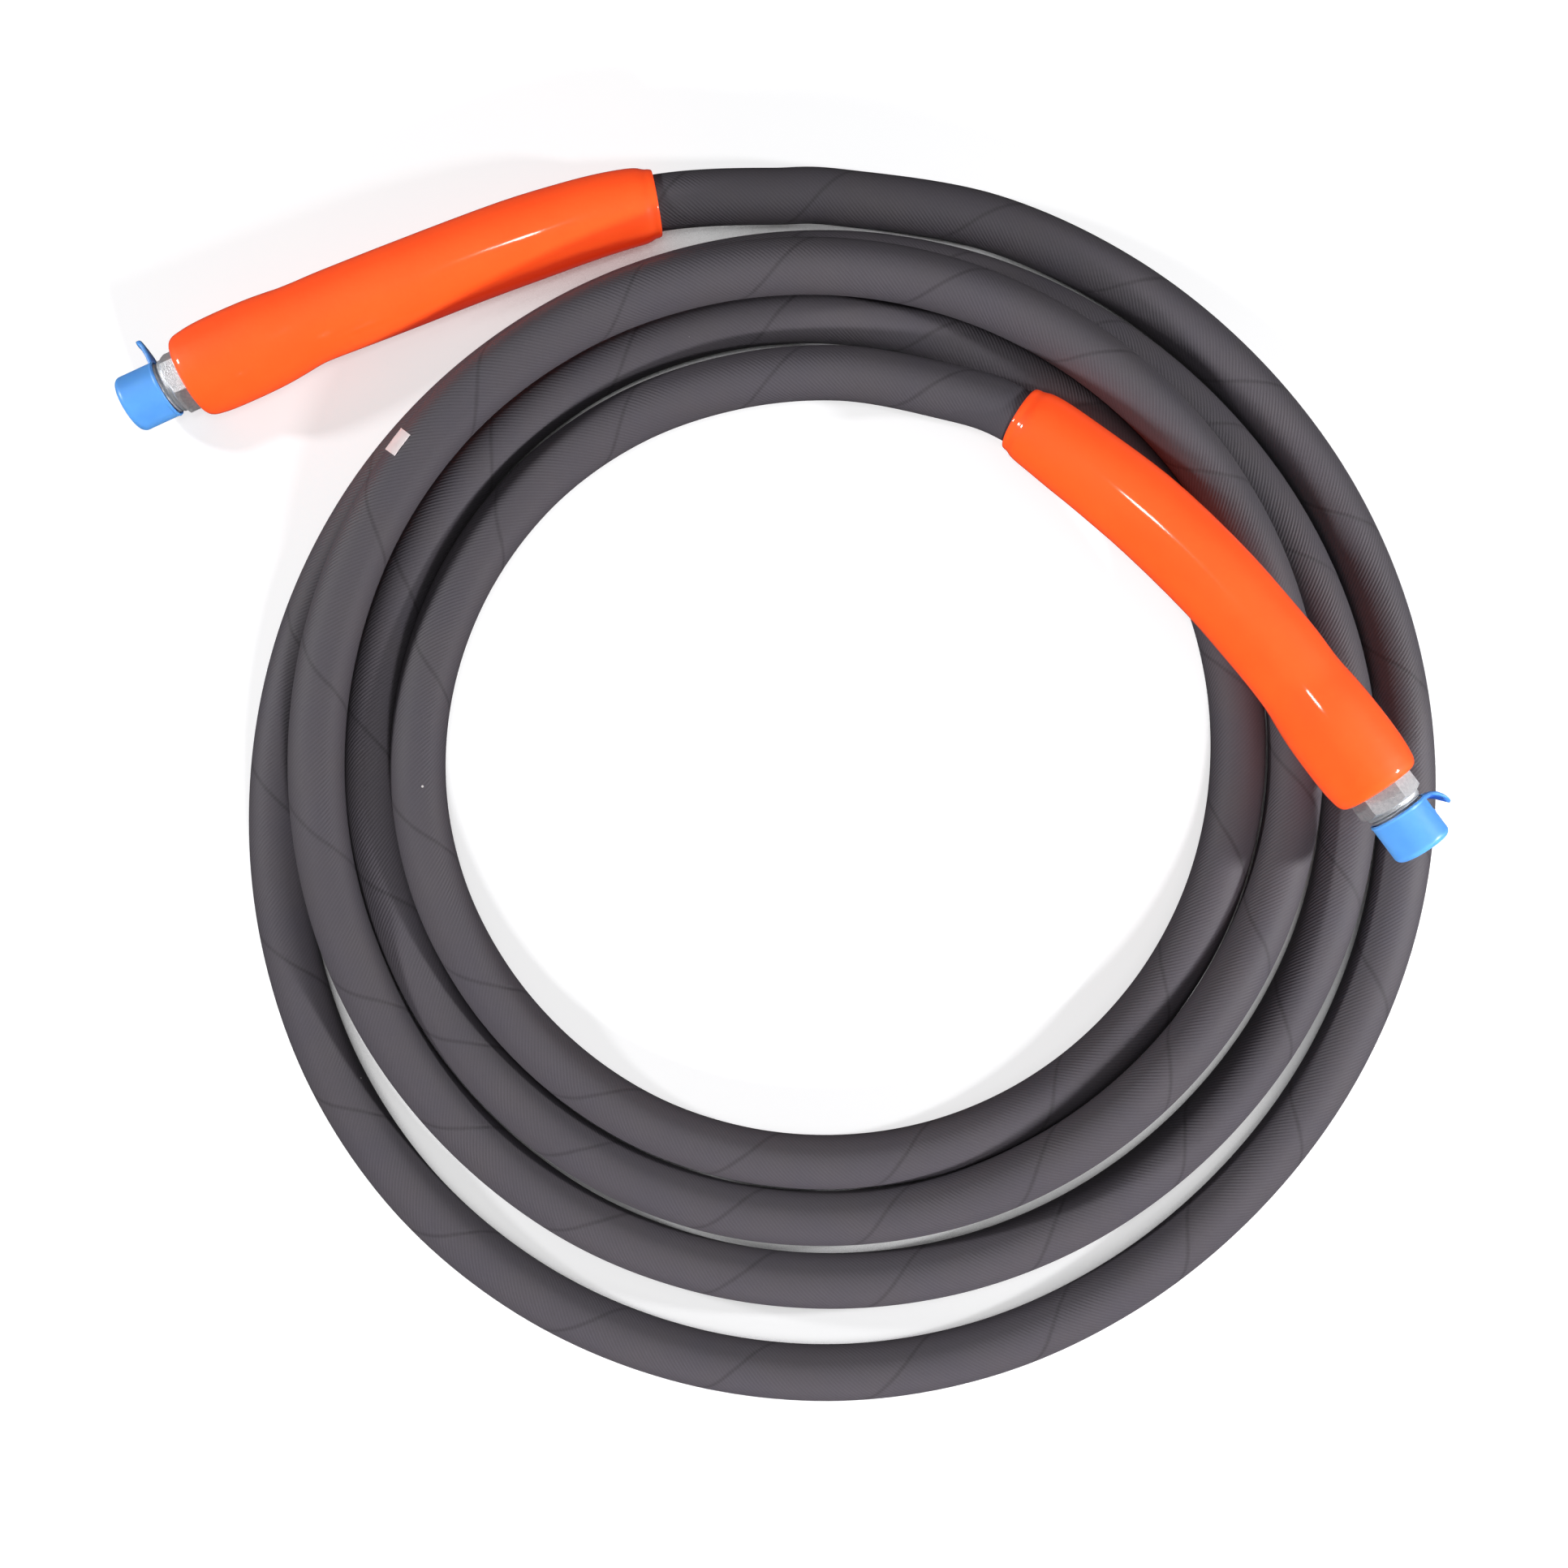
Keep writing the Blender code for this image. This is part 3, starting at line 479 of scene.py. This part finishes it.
# Matt polypropylene film: off-white, a little pink, and rubbed greyer in patches 3 mm across.
label_film = new_material("matt_polypropylene_film", Roughness=0.55, IOR=1.49)
film_place = add_node(label_film, "TexCoord").outputs["Object"]
rubbed = add_node(label_film, "TexNoise", {"Vector": film_place, "Scale": 320.0, "Detail": 4.0})
film_colour = add_node(
    label_film,
    "Mix",
    {"Factor": rubbed.outputs["Fac"], "A": linear("FCF2F2"), "B": linear("E6DADC")},
    data_type="RGBA",
)
film_bump = add_node(label_film, "Bump", {"Height": rubbed.outputs["Fac"], "Distance": 0.00006})
link_shader(
    label_film, Base_Color=film_colour.outputs["Result"], Normal=film_bump.outputs["Normal"]
)
smoothed(label, 40)
label.data.materials.append(label_film)
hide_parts("hose_label")
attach(label, "hose")

# Braid and inner tube. Brass-coated wire plaited in two layers with rubber between them, over an
# extruded nitrile tube with a 12.7 mm bore. They are cured together with the cover, which hides
# them, and the fittings close their ends.
LAYER_SIDES = 24
BRAID_OUTSIDE, BRAID_INSIDE = (0.0095, 0.0006), (0.0082, 0.0009)  # radius, lowest point
TUBE_OUTSIDE, TUBE_INSIDE = (0.0081, 0.0010), (0.00635, 0.0010)

# Brass-coated wire: metallic and yellow, with the plait's wires 0.45 mm apart.
brass_wire = new_material("brass_coated_wire", Metallic=0.9, Roughness=0.35)
wire_place = add_node(brass_wire, "TexCoord").outputs["Object"]
plait = add_node(brass_wire, "TexWave", {"Vector": wire_place, "Scale": 700.0, "Distortion": 2.0})
wire_colour = add_node(
    brass_wire,
    "Mix",
    {"Factor": plait.outputs["Fac"], "A": linear("6E5C36"), "B": linear("C9AE72")},
    data_type="RGBA",
)
wire_bump = add_node(brass_wire, "Bump", {"Height": plait.outputs["Fac"], "Distance": 0.0003})
link_shader(
    brass_wire, Base_Color=wire_colour.outputs["Result"], Normal=wire_bump.outputs["Normal"]
)

# Extruded nitrile: smooth, black, faintly cloudy.
nitrile = new_material("extruded_nitrile_rubber", Roughness=0.45)
nitrile_place = add_node(nitrile, "TexCoord").outputs["Object"]
nitrile_cloud = add_node(nitrile, "TexNoise", {"Vector": nitrile_place, "Scale": 300.0})
nitrile_colour = add_node(
    nitrile,
    "Mix",
    {"Factor": nitrile_cloud.outputs["Fac"], "A": linear("151515"), "B": linear("222122")},
    data_type="RGBA",
)
link_shader(nitrile, Base_Color=nitrile_colour.outputs["Result"])


def make_layer(name, *faces):
    """Layer of the hose between two round faces, each flattened at its lowest point."""
    rings = []
    for (radius, lowest), reached in zip(faces, (bore_reached[::-1], bore_reached)):
        face = rings_along(hose_path, reached, [radius] * len(reached), LAYER_SIDES)
        face[:, :, 2] = np.maximum(face[:, :, 2], lowest)
        rings.append(face)
    return smoothed(rolled_grid(name, np.concatenate([*rings, rings[0][:1]])), 50)


braid = make_layer("braid", BRAID_OUTSIDE, BRAID_INSIDE)
braid.data.materials.append(brass_wire)
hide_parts("wire_braid")
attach(braid, "hose")

tube = make_layer("tube", TUBE_OUTSIDE, TUBE_INSIDE)
tube.data.materials.append(nitrile)
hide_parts("inner_tube")
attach(tube, "hose")

# Fitting stems. Each is turned from one bar of carbon steel and zinc plated: nose with a tapered
# half-inch pipe thread, collar, 22 mm hexagon, and a barbed tail that the crimped hose grips.
HEX_FLAT = 0.0111  # half across the flats
HEX_FACE = 0.01095  # radius of the turned face in the hexagon's corners
HEX_CORNERS_A, HEX_CORNERS_B = math.radians(-4), math.radians(21)
HEX_FRONT, HEX_BACK = 0.0064, -0.0030
CHAMFER_SLOPE = math.tan(math.radians(60))
COLLAR_RADIUS, COLLAR_FRONT = 0.0108, 0.0078
NOSE_END = 0.0257
THREAD_RADIUS, THREAD_PITCH, THREAD_DEPTH = 0.0105, 0.0254 / 14, 0.00125
THREAD_TAPER = 1 / 32  # on the radius
NECK_RADIUS, GROOVE_RADIUS, TAIL_RADIUS, BARB_ROOT = 0.0082, 0.0074, 0.00605, 0.00565
GROOVE_FRONT, GROOVE_BACK = -0.0039, -0.0073
SHOULDER, TAIL_END, STEM_BORE = -0.0079, -0.0430, 0.0050
BARBS = 6
STEM_SIDES = 96


def end_matrix(rim, out, side):
    """Frame of an end: its Z points out along the thread, its X to the cap's tab."""
    across = Vector((0, 0, side)).cross(out).normalized()
    turn = Matrix((across, out.cross(across), out)).transposed()
    return Matrix.Translation(rim) @ turn.to_4x4()


def turned_rings(rows, sides, first_angle, end):
    """Rings of a turned piece in an end's frame, from rows of (radius, height)."""
    angles = first_angle + 2 * math.pi * np.arange(sides) / sides
    rings = np.zeros((len(rows), sides, 3))
    for ring, (radius, height) in zip(rings, rows):
        ring[:, 0], ring[:, 1] = radius * np.cos(angles), radius * np.sin(angles)
        ring[:, 2] = height
    matrix = np.array(end)
    return rings @ matrix[:3, :3].T + matrix[:3, 3]


def stem_rows(first_angle):
    """Rows of (radius, height) from the bore's nose end, out over thread, hexagon and tail, and
    back. A radius is a number, or one for each side."""
    turns = np.arange(STEM_SIDES) / STEM_SIDES
    in_flat = (turns * 2 * math.pi) % (math.pi / 3) - math.pi / 6
    hexagon = HEX_FLAT / np.cos(in_flat)
    cut = (hexagon - HEX_FACE) / CHAMFER_SLOPE
    nose = THREAD_RADIUS - (NOSE_END - COLLAR_FRONT) * THREAD_TAPER
    rows = [(STEM_BORE, NOSE_END - 0.0005), (STEM_BORE + 0.0005, NOSE_END)]
    rows += [(nose - THREAD_DEPTH - 0.0004, NOSE_END), (nose - THREAD_DEPTH, NOSE_END - 0.0003)]
    for height in np.arange(NOSE_END - 0.0004, COLLAR_FRONT, -THREAD_PITCH / 12):
        crest = THREAD_RADIUS - (height - COLLAR_FRONT) * THREAD_TAPER
        wave = np.abs(2 * ((height / THREAD_PITCH - turns - first_angle / 2 / math.pi) % 1) - 1)
        # Straight flanks, with narrow flats at crest and root.
        depth = np.clip(wave * 1.25 - 0.12, 0, 1) * THREAD_DEPTH
        starting = (NOSE_END - height) / 0.0016  # the first turn rises out of the nose's chamfer
        rows.append((crest - np.maximum(depth, THREAD_DEPTH * max(0.0, 1 - starting)), height))
    rows += [
        (THREAD_RADIUS - THREAD_DEPTH * 0.6, COLLAR_FRONT),
        (COLLAR_RADIUS - 0.0002, COLLAR_FRONT),
        (COLLAR_RADIUS, COLLAR_FRONT - 0.0002),
        (COLLAR_RADIUS, HEX_FRONT + 0.0001),
        (COLLAR_RADIUS + 0.00005, HEX_FRONT),
        (HEX_FACE, HEX_FRONT),
        (hexagon, HEX_FRONT - cut),
        (hexagon, HEX_BACK + cut),
        (HEX_FACE, HEX_BACK),
        (NECK_RADIUS, HEX_BACK),
        (NECK_RADIUS, GROOVE_FRONT),
        (GROOVE_RADIUS, GROOVE_FRONT),
        (GROOVE_RADIUS, GROOVE_BACK),
        (NECK_RADIUS, GROOVE_BACK),
        (NECK_RADIUS, SHOULDER),
        (TAIL_RADIUS, SHOULDER),
    ]
    spacing = (SHOULDER - TAIL_END) / (BARBS + 1)
    for barb in range(1, BARBS + 1):
        crest = SHOULDER - barb * spacing
        rows += [(TAIL_RADIUS, crest), (BARB_ROOT, crest - spacing * 0.15)]
    rows += [(BARB_ROOT, TAIL_END), (STEM_BORE + 0.0002, TAIL_END), (STEM_BORE, TAIL_END + 0.0002)]
    return rows + rows[:1]


def make_stem(name, corners, end):
    return rolled_grid(name, turned_rings(stem_rows(corners), STEM_SIDES, corners, end))


end_a = end_matrix(rim_a, OUT_A, -1)
end_b = end_matrix(rim_b, OUT_B, 1)
stem_a = make_stem("fitting_a", HEX_CORNERS_A, end_a)
stem_b = make_stem("fitting_b", HEX_CORNERS_B, end_b)

# Zinc-plated steel: bright grey and cloudy, with a crystal grain that glitters on the flats, drawn
# 0.4 mm across, so that it shows.
plated_steel = new_material("zinc_plated_steel", Metallic=0.78, Roughness=0.42)
steel_place = add_node(plated_steel, "TexCoord").outputs["Object"]
crystal = add_node(plated_steel, "TexVoronoi", {"Vector": steel_place, "Scale": 2600.0})
mottle = add_node(plated_steel, "TexNoise", {"Vector": steel_place, "Scale": 900.0, "Detail": 5.0})
steel_colour = add_node(
    plated_steel,
    "Mix",
    {"Factor": mottle.outputs["Fac"], "A": linear("C0C4CA"), "B": linear("FAFBFD")},
    data_type="RGBA",
)
steel_rough = add_node(
    plated_steel, "MapRange", {"Value": mottle.outputs["Fac"], "To Min": 0.34, "To Max": 0.66}
)
steel_bump = add_node(
    plated_steel,
    "Bump",
    {"Height": crystal.outputs["Distance"], "Distance": 0.00014, "Strength": 0.8},
)
link_shader(
    plated_steel,
    Base_Color=steel_colour.outputs["Result"],
    Roughness=steel_rough.outputs["Result"],
    Normal=steel_bump.outputs["Normal"],
)
for stem, node in ((stem_a, "fitting_stem_a"), (stem_b, "fitting_stem_b")):
    smoothed(stem, 30)
    stem.data.materials.append(plated_steel)
    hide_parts(node)
    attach(stem, "hose")

# Ferrules. Steel shells pressed on to the hose ends by eight dies, under the sleeves. Their solids
# stay, and take the same plating.
for node in ("crimp_ferrule_a", "crimp_ferrule_b"):
    for material_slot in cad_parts[node].material_slots:
        material_slot.material = plated_steel

# Sleeves. Dip-moulded vinyl tubes, 203 mm long, pushed over the ferrules to guard the hose where
# it bends. They are stretched over the ferrule, slack on the hose, and nipped in at the cuff.
SLEEVE_LENGTH = 0.2032
SLEEVE_SIDES = 64
SLEEVE_LUMP = 0.00012
LUMPS_FADE = 0.012  # from each end of the sleeve
FERRULE_REACH = 0.060  # of the ferrule's swelling, behind the front face
SLEEVE_OUTSIDE = (  # distance behind the front face, radius
    (0.0000, 0.0141),
    (0.0001, 0.0147),
    (0.0004, 0.0153),
    (0.0010, 0.0160),
    (0.0020, 0.0166),
    (0.0035, 0.0171),
    (0.0060, 0.0175),
    (0.0090, 0.0179),
    (0.0140, 0.0182),
    (0.0220, 0.0183),
    (0.0300, 0.0182),
    (0.0370, 0.0179),
    (0.0440, 0.0173),
    (0.0490, 0.0168),
    (0.0550, 0.0166),
    (0.0680, 0.0168),
    (0.1000, 0.0169),
    (0.1432, 0.0168),
    (0.1672, 0.0162),
    (0.1800, 0.0158),
    (0.1892, 0.0154),
    (0.1945, 0.0150),
    (0.1975, 0.0145),
    (0.1992, 0.0139),
    (0.2004, 0.0135),
    (0.2018, 0.0133),
    (0.2028, 0.0130),
    (0.2032, 0.0126),
)
SLEEVE_INSIDE = (
    (0.2032, 0.0122),
    (0.2026, 0.0120),
    (0.2002, 0.0120),
    (0.1892, 0.0124),
    (0.1672, 0.0132),
    (0.1432, 0.0138),
    (0.1000, 0.0139),
    (0.0550, 0.0137),
    (0.0475, 0.0140),
    (0.0443, 0.0149),
    (0.0033, 0.0149),
    (0.0028, 0.0134),
    (0.0004, 0.0134),
    (0.0000, 0.0137),
)


def sleeve_rings(face, route, set_back, phase):
    """Rings of the sleeve's wall: its outside backwards, its inside forwards, and the first again.
    Rows are added between the table's on a smooth curve, and the outside gets slight lumps."""
    line = [face] + route[: len(route) // 4]
    rows = []
    for table, parts, ferrule_from in ((SLEEVE_OUTSIDE, 4, 0.020), (SLEEVE_INSIDE, 1, 0.002)):
        # Rows over the ferrule stay at its place, however far back the sleeve's face is.
        over_ferrule = [ferrule_from < row[0] < FERRULE_REACH for row in table]
        distances = [row[0] - set_back * over for row, over in zip(table, over_ferrule)]
        radii = [row[1] for row in table]
        for i in range((len(table) - 1) * parts + 1):
            rows.append((through(distances, i / parts), through(radii, i / parts), parts > 1))
    rows.append(rows[0])
    turns = 2 * math.pi * np.arange(SLEEVE_SIDES) / SLEEVE_SIDES
    radii = []
    for distance, radius, lumpy in rows:
        from_ends = min(distance, SLEEVE_LENGTH - distance)
        fade = min(from_ends / LUMPS_FADE, 1.0) * lumpy
        lumps = np.sin(2 * turns + distance * 90 + phase) + np.sin(3 * turns - distance * 140)
        lumps += np.sin(distance * 260 + phase) * np.cos(turns + phase)
        radii.append(radius - SLEEVE_LUMP * fade * (1 + lumps / 3))
    return rings_along(line, [row[0] for row in rows], radii, SLEEVE_SIDES)


face_b = rim_b - OUT_B * SLEEVE_SET_BACK
sleeve_a = rolled_grid("sleeve_a", sleeve_rings(rim_a, hose_path, 0.0, 0.6))
sleeve_b = rolled_grid("sleeve_b", sleeve_rings(face_b, hose_path[::-1], SLEEVE_SET_BACK, 2.4))

# Dip-moulded plasticised vinyl: glossy, slightly cloudy, with a soft orange-peel. A faint painted
# orange-red glow stands in for its fluorescent pigment, and shines the same in shade as in light.
orange_vinyl = new_material(
    "dip_moulded_vinyl",
    Roughness=0.60,
    IOR=1.53,
    Specular_IOR_Level=0.25,
    Subsurface_Weight=0.12,
    Subsurface_Radius=(0.004, 0.0012, 0.0006),
    Subsurface_Scale=0.6,
    Coat_Weight=0.90,
    Coat_Roughness=0.09,
    # painted glow: even orange-red light, the same in shade as in light
    Emission_Color=(1.0, 0.030, 0.006, 1),
    Emission_Strength=0.45,
)
vinyl_place = add_node(orange_vinyl, "TexCoord").outputs["Object"]
vinyl_cloud = add_node(
    orange_vinyl, "TexNoise", {"Vector": vinyl_place, "Scale": 35.0, "Detail": 3.0}
)
vinyl_colour = add_node(
    orange_vinyl,
    "Mix",
    {"Factor": vinyl_cloud.outputs["Fac"], "A": linear("FF5C1E"), "B": linear("FF6826")},
    data_type="RGBA",
)
peel = add_node(orange_vinyl, "TexNoise", {"Vector": vinyl_place, "Scale": 260.0, "Detail": 2.0})
vinyl_bump = add_node(
    orange_vinyl, "Bump", {"Height": peel.outputs["Fac"], "Distance": 0.0004, "Strength": 0.25}
)
link_shader(
    orange_vinyl, Base_Color=vinyl_colour.outputs["Result"], Normal=vinyl_bump.outputs["Normal"]
)
for sleeve, node in ((sleeve_a, "hose_sleeve_a"), (sleeve_b, "hose_sleeve_b")):
    smoothed(sleeve, 60)
    sleeve.data.materials.append(orange_vinyl)
    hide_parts(node)
    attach(sleeve, "hose")

# Thread caps. Soft polyethylene, injection moulded, pushed over the threads and pulled off by a
# tab at the mouth. Tab A stands out nearly straight, and tab B is bent over the closed end.
CAP_RADIUS, CAP_MOUTH, CAP_END = 0.0114, 0.0096, 0.0270
CAP_WALL, CAP_END_WALL, CAP_EDGE = 0.0006, 0.0010, 0.0026
BEAD = 0.00025
CAP_SIDES = 96
TAB_WIDTH, TAB_THICKNESS, TAB_SIDES = 0.0080, 0.0023, 32
# Reach outwards, bend along the cap, and lean of the tip's edges along it.
TAB_A, TAB_B = (0.0108, 0.0022, 0.0010), (0.0076, 0.0074, -0.0012)
TAB_BEND = (0.0, 0.07, 0.30, 0.63, 1.0)
TAB_REACHED = (0.0, 0.32, 0.60, 0.82, 1.0)
GATE_PLACE, GATE_HEIGHT, GATE_WIDTH, GATE_LENGTH = 0.0078, 0.0007, 0.0018, 0.0022


def cap_rows():
    """Rows of (radius, height) from the middle of the floor inside, out round the mouth, to the
    middle of the closed end."""
    inside = CAP_RADIUS - CAP_WALL
    floor = CAP_END - CAP_END_WALL
    narrow = inside - (floor - CAP_MOUTH) * THREAD_TAPER
    rows = [(0.0, floor), (narrow * 0.5, floor), (narrow - 0.0010, floor)]
    rows += [(narrow - 0.0002, floor - 0.0003), (narrow, floor - 0.0010)]
    rows += [(inside - 0.0001, CAP_MOUTH + 0.0012), (inside, CAP_MOUTH + 0.0003)]
    rows += [(inside + 0.0001, CAP_MOUTH), (CAP_RADIUS - 0.00005, CAP_MOUTH)]
    for degrees in range(0, 181, 30):
        swell = BEAD * math.sin(math.radians(degrees))
        rows.append((CAP_RADIUS + swell, CAP_MOUTH + 0.0002 + 0.0010 * degrees / 180))
    side = np.linspace(CAP_MOUTH + 0.0016, CAP_END - 0.0032, 5)
    rows += [(CAP_RADIUS, height) for height in side]
    for degrees in range(0, 91, 9):
        angle = math.radians(degrees)
        radius = CAP_RADIUS - CAP_EDGE + CAP_EDGE * math.cos(angle)
        rows.append((radius, CAP_END - CAP_EDGE + CAP_EDGE * math.sin(angle)))
    return rows + [(CAP_RADIUS * 0.5, CAP_END - 0.0001), (0.0, CAP_END - 0.00015)]


def make_tab(name, reach, bend, lean):
    """Tongue in the cap's own frame: rings with rounded edges, from inside the wall to the tip."""
    middle = CAP_RADIUS - CAP_WALL / 2
    half_width, half_thickness = TAB_WIDTH / 2, TAB_THICKNESS / 2
    root = (middle, 0.0, CAP_MOUTH + half_thickness)
    rings = [[root] * TAB_SIDES]
    for share in np.linspace(0, 1, 21):
        # The tip is half a circle as wide as the tab, and thins at its very end.
        tip = max(0.0, share - (1 - half_width / reach)) * reach / half_width
        rounding, thinning = math.sqrt(max(1 - tip**2, 0.0)), math.sqrt(max(1 - tip**8, 0.0))
        bent = np.interp(share, TAB_REACHED, TAB_BEND) * bend
        ring = []
        for angle in 2 * math.pi * np.arange(TAB_SIDES) / TAB_SIDES:
            across, through_it = math.cos(angle), math.sin(angle)
            across = math.copysign(abs(across) ** 0.4, across) * rounding
            through_it = math.copysign(abs(through_it) ** 0.6, through_it) * thinning
            on_wall = math.sqrt(middle**2 - (across * half_width) ** 2)
            out = on_wall + share * (CAP_RADIUS + reach - on_wall)
            along_cap = root[2] + bent + lean * share * across + half_thickness * through_it
            ring.append((out, across * half_width, along_cap))
        rings.append(ring)
    return rolled_grid(name, rings)


def make_gate_nub(name):
    """What is left of the moulding's gate: a low swelling on the cap's side, under the tab."""
    bpy.ops.object.select_all(action="DESELECT")
    bpy.ops.mesh.primitive_uv_sphere_add(
        segments=16,
        ring_count=10,
        radius=1,
        scale=(GATE_HEIGHT, GATE_WIDTH / 2, GATE_LENGTH / 2),
        location=(CAP_RADIUS, 0, CAP_MOUTH + GATE_PLACE),
    )
    bpy.ops.object.transform_apply(location=True, rotation=True, scale=True)
    nub = bpy.context.object
    nub.name = nub.data.name = name
    return nub


def make_cap(name, end, tab_size, gate_shows):
    cap = rolled_grid(name, turned_rings(cap_rows(), CAP_SIDES, 0.0, Matrix.Identity(4)))
    additions = [make_tab(name + "_tab", *tab_size)]
    if gate_shows:
        additions.append(make_gate_nub(name + "_gate"))
    bpy.ops.object.select_all(action="DESELECT")
    cap.select_set(True)
    bpy.context.view_layer.objects.active = cap
    for addition in additions:
        join = cap.modifiers.new("moulded_together", "BOOLEAN")
        join.operation, join.solver, join.object = "UNION", "EXACT", addition
        bpy.ops.object.modifier_apply(modifier=join.name)
        bpy.data.objects.remove(addition)
    cap.data.transform(end)
    return smoothed(cap, 40)


cap_a = make_cap("cap_a_moulding", end_a, TAB_A, False)
cap_b = make_cap("cap_b_moulding", end_b, TAB_B, True)

# Low-density polyethylene: satin, a little translucent, so edges and tab take soft light.
blue_plastic = new_material(
    "moulded_polyethylene",
    Roughness=0.38,
    IOR=1.51,
    Subsurface_Weight=0.25,
    Subsurface_Radius=(0.0006, 0.0012, 0.0024),
    Subsurface_Scale=0.5,
)
plastic_place = add_node(blue_plastic, "TexCoord").outputs["Object"]
plastic_cloud = add_node(blue_plastic, "TexNoise", {"Vector": plastic_place, "Scale": 220.0})
plastic_colour = add_node(
    blue_plastic,
    "Mix",
    {"Factor": plastic_cloud.outputs["Fac"], "A": linear("5CA4FC"), "B": linear("68B0FF")},
    data_type="RGBA",
)
plastic_grain = add_node(blue_plastic, "TexNoise", {"Vector": plastic_place, "Scale": 2500.0})
plastic_bump = add_node(
    blue_plastic,
    "Bump",
    {"Height": plastic_grain.outputs["Fac"], "Distance": 0.00004, "Strength": 0.4},
)
link_shader(
    blue_plastic, Base_Color=plastic_colour.outputs["Result"], Normal=plastic_bump.outputs["Normal"]
)
for cap, node, body in ((cap_a, "thread_cap_a", "cap_a"), (cap_b, "thread_cap_b", "cap_b")):
    cap.data.materials.append(blue_plastic)
    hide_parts(node)
    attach(cap, body)
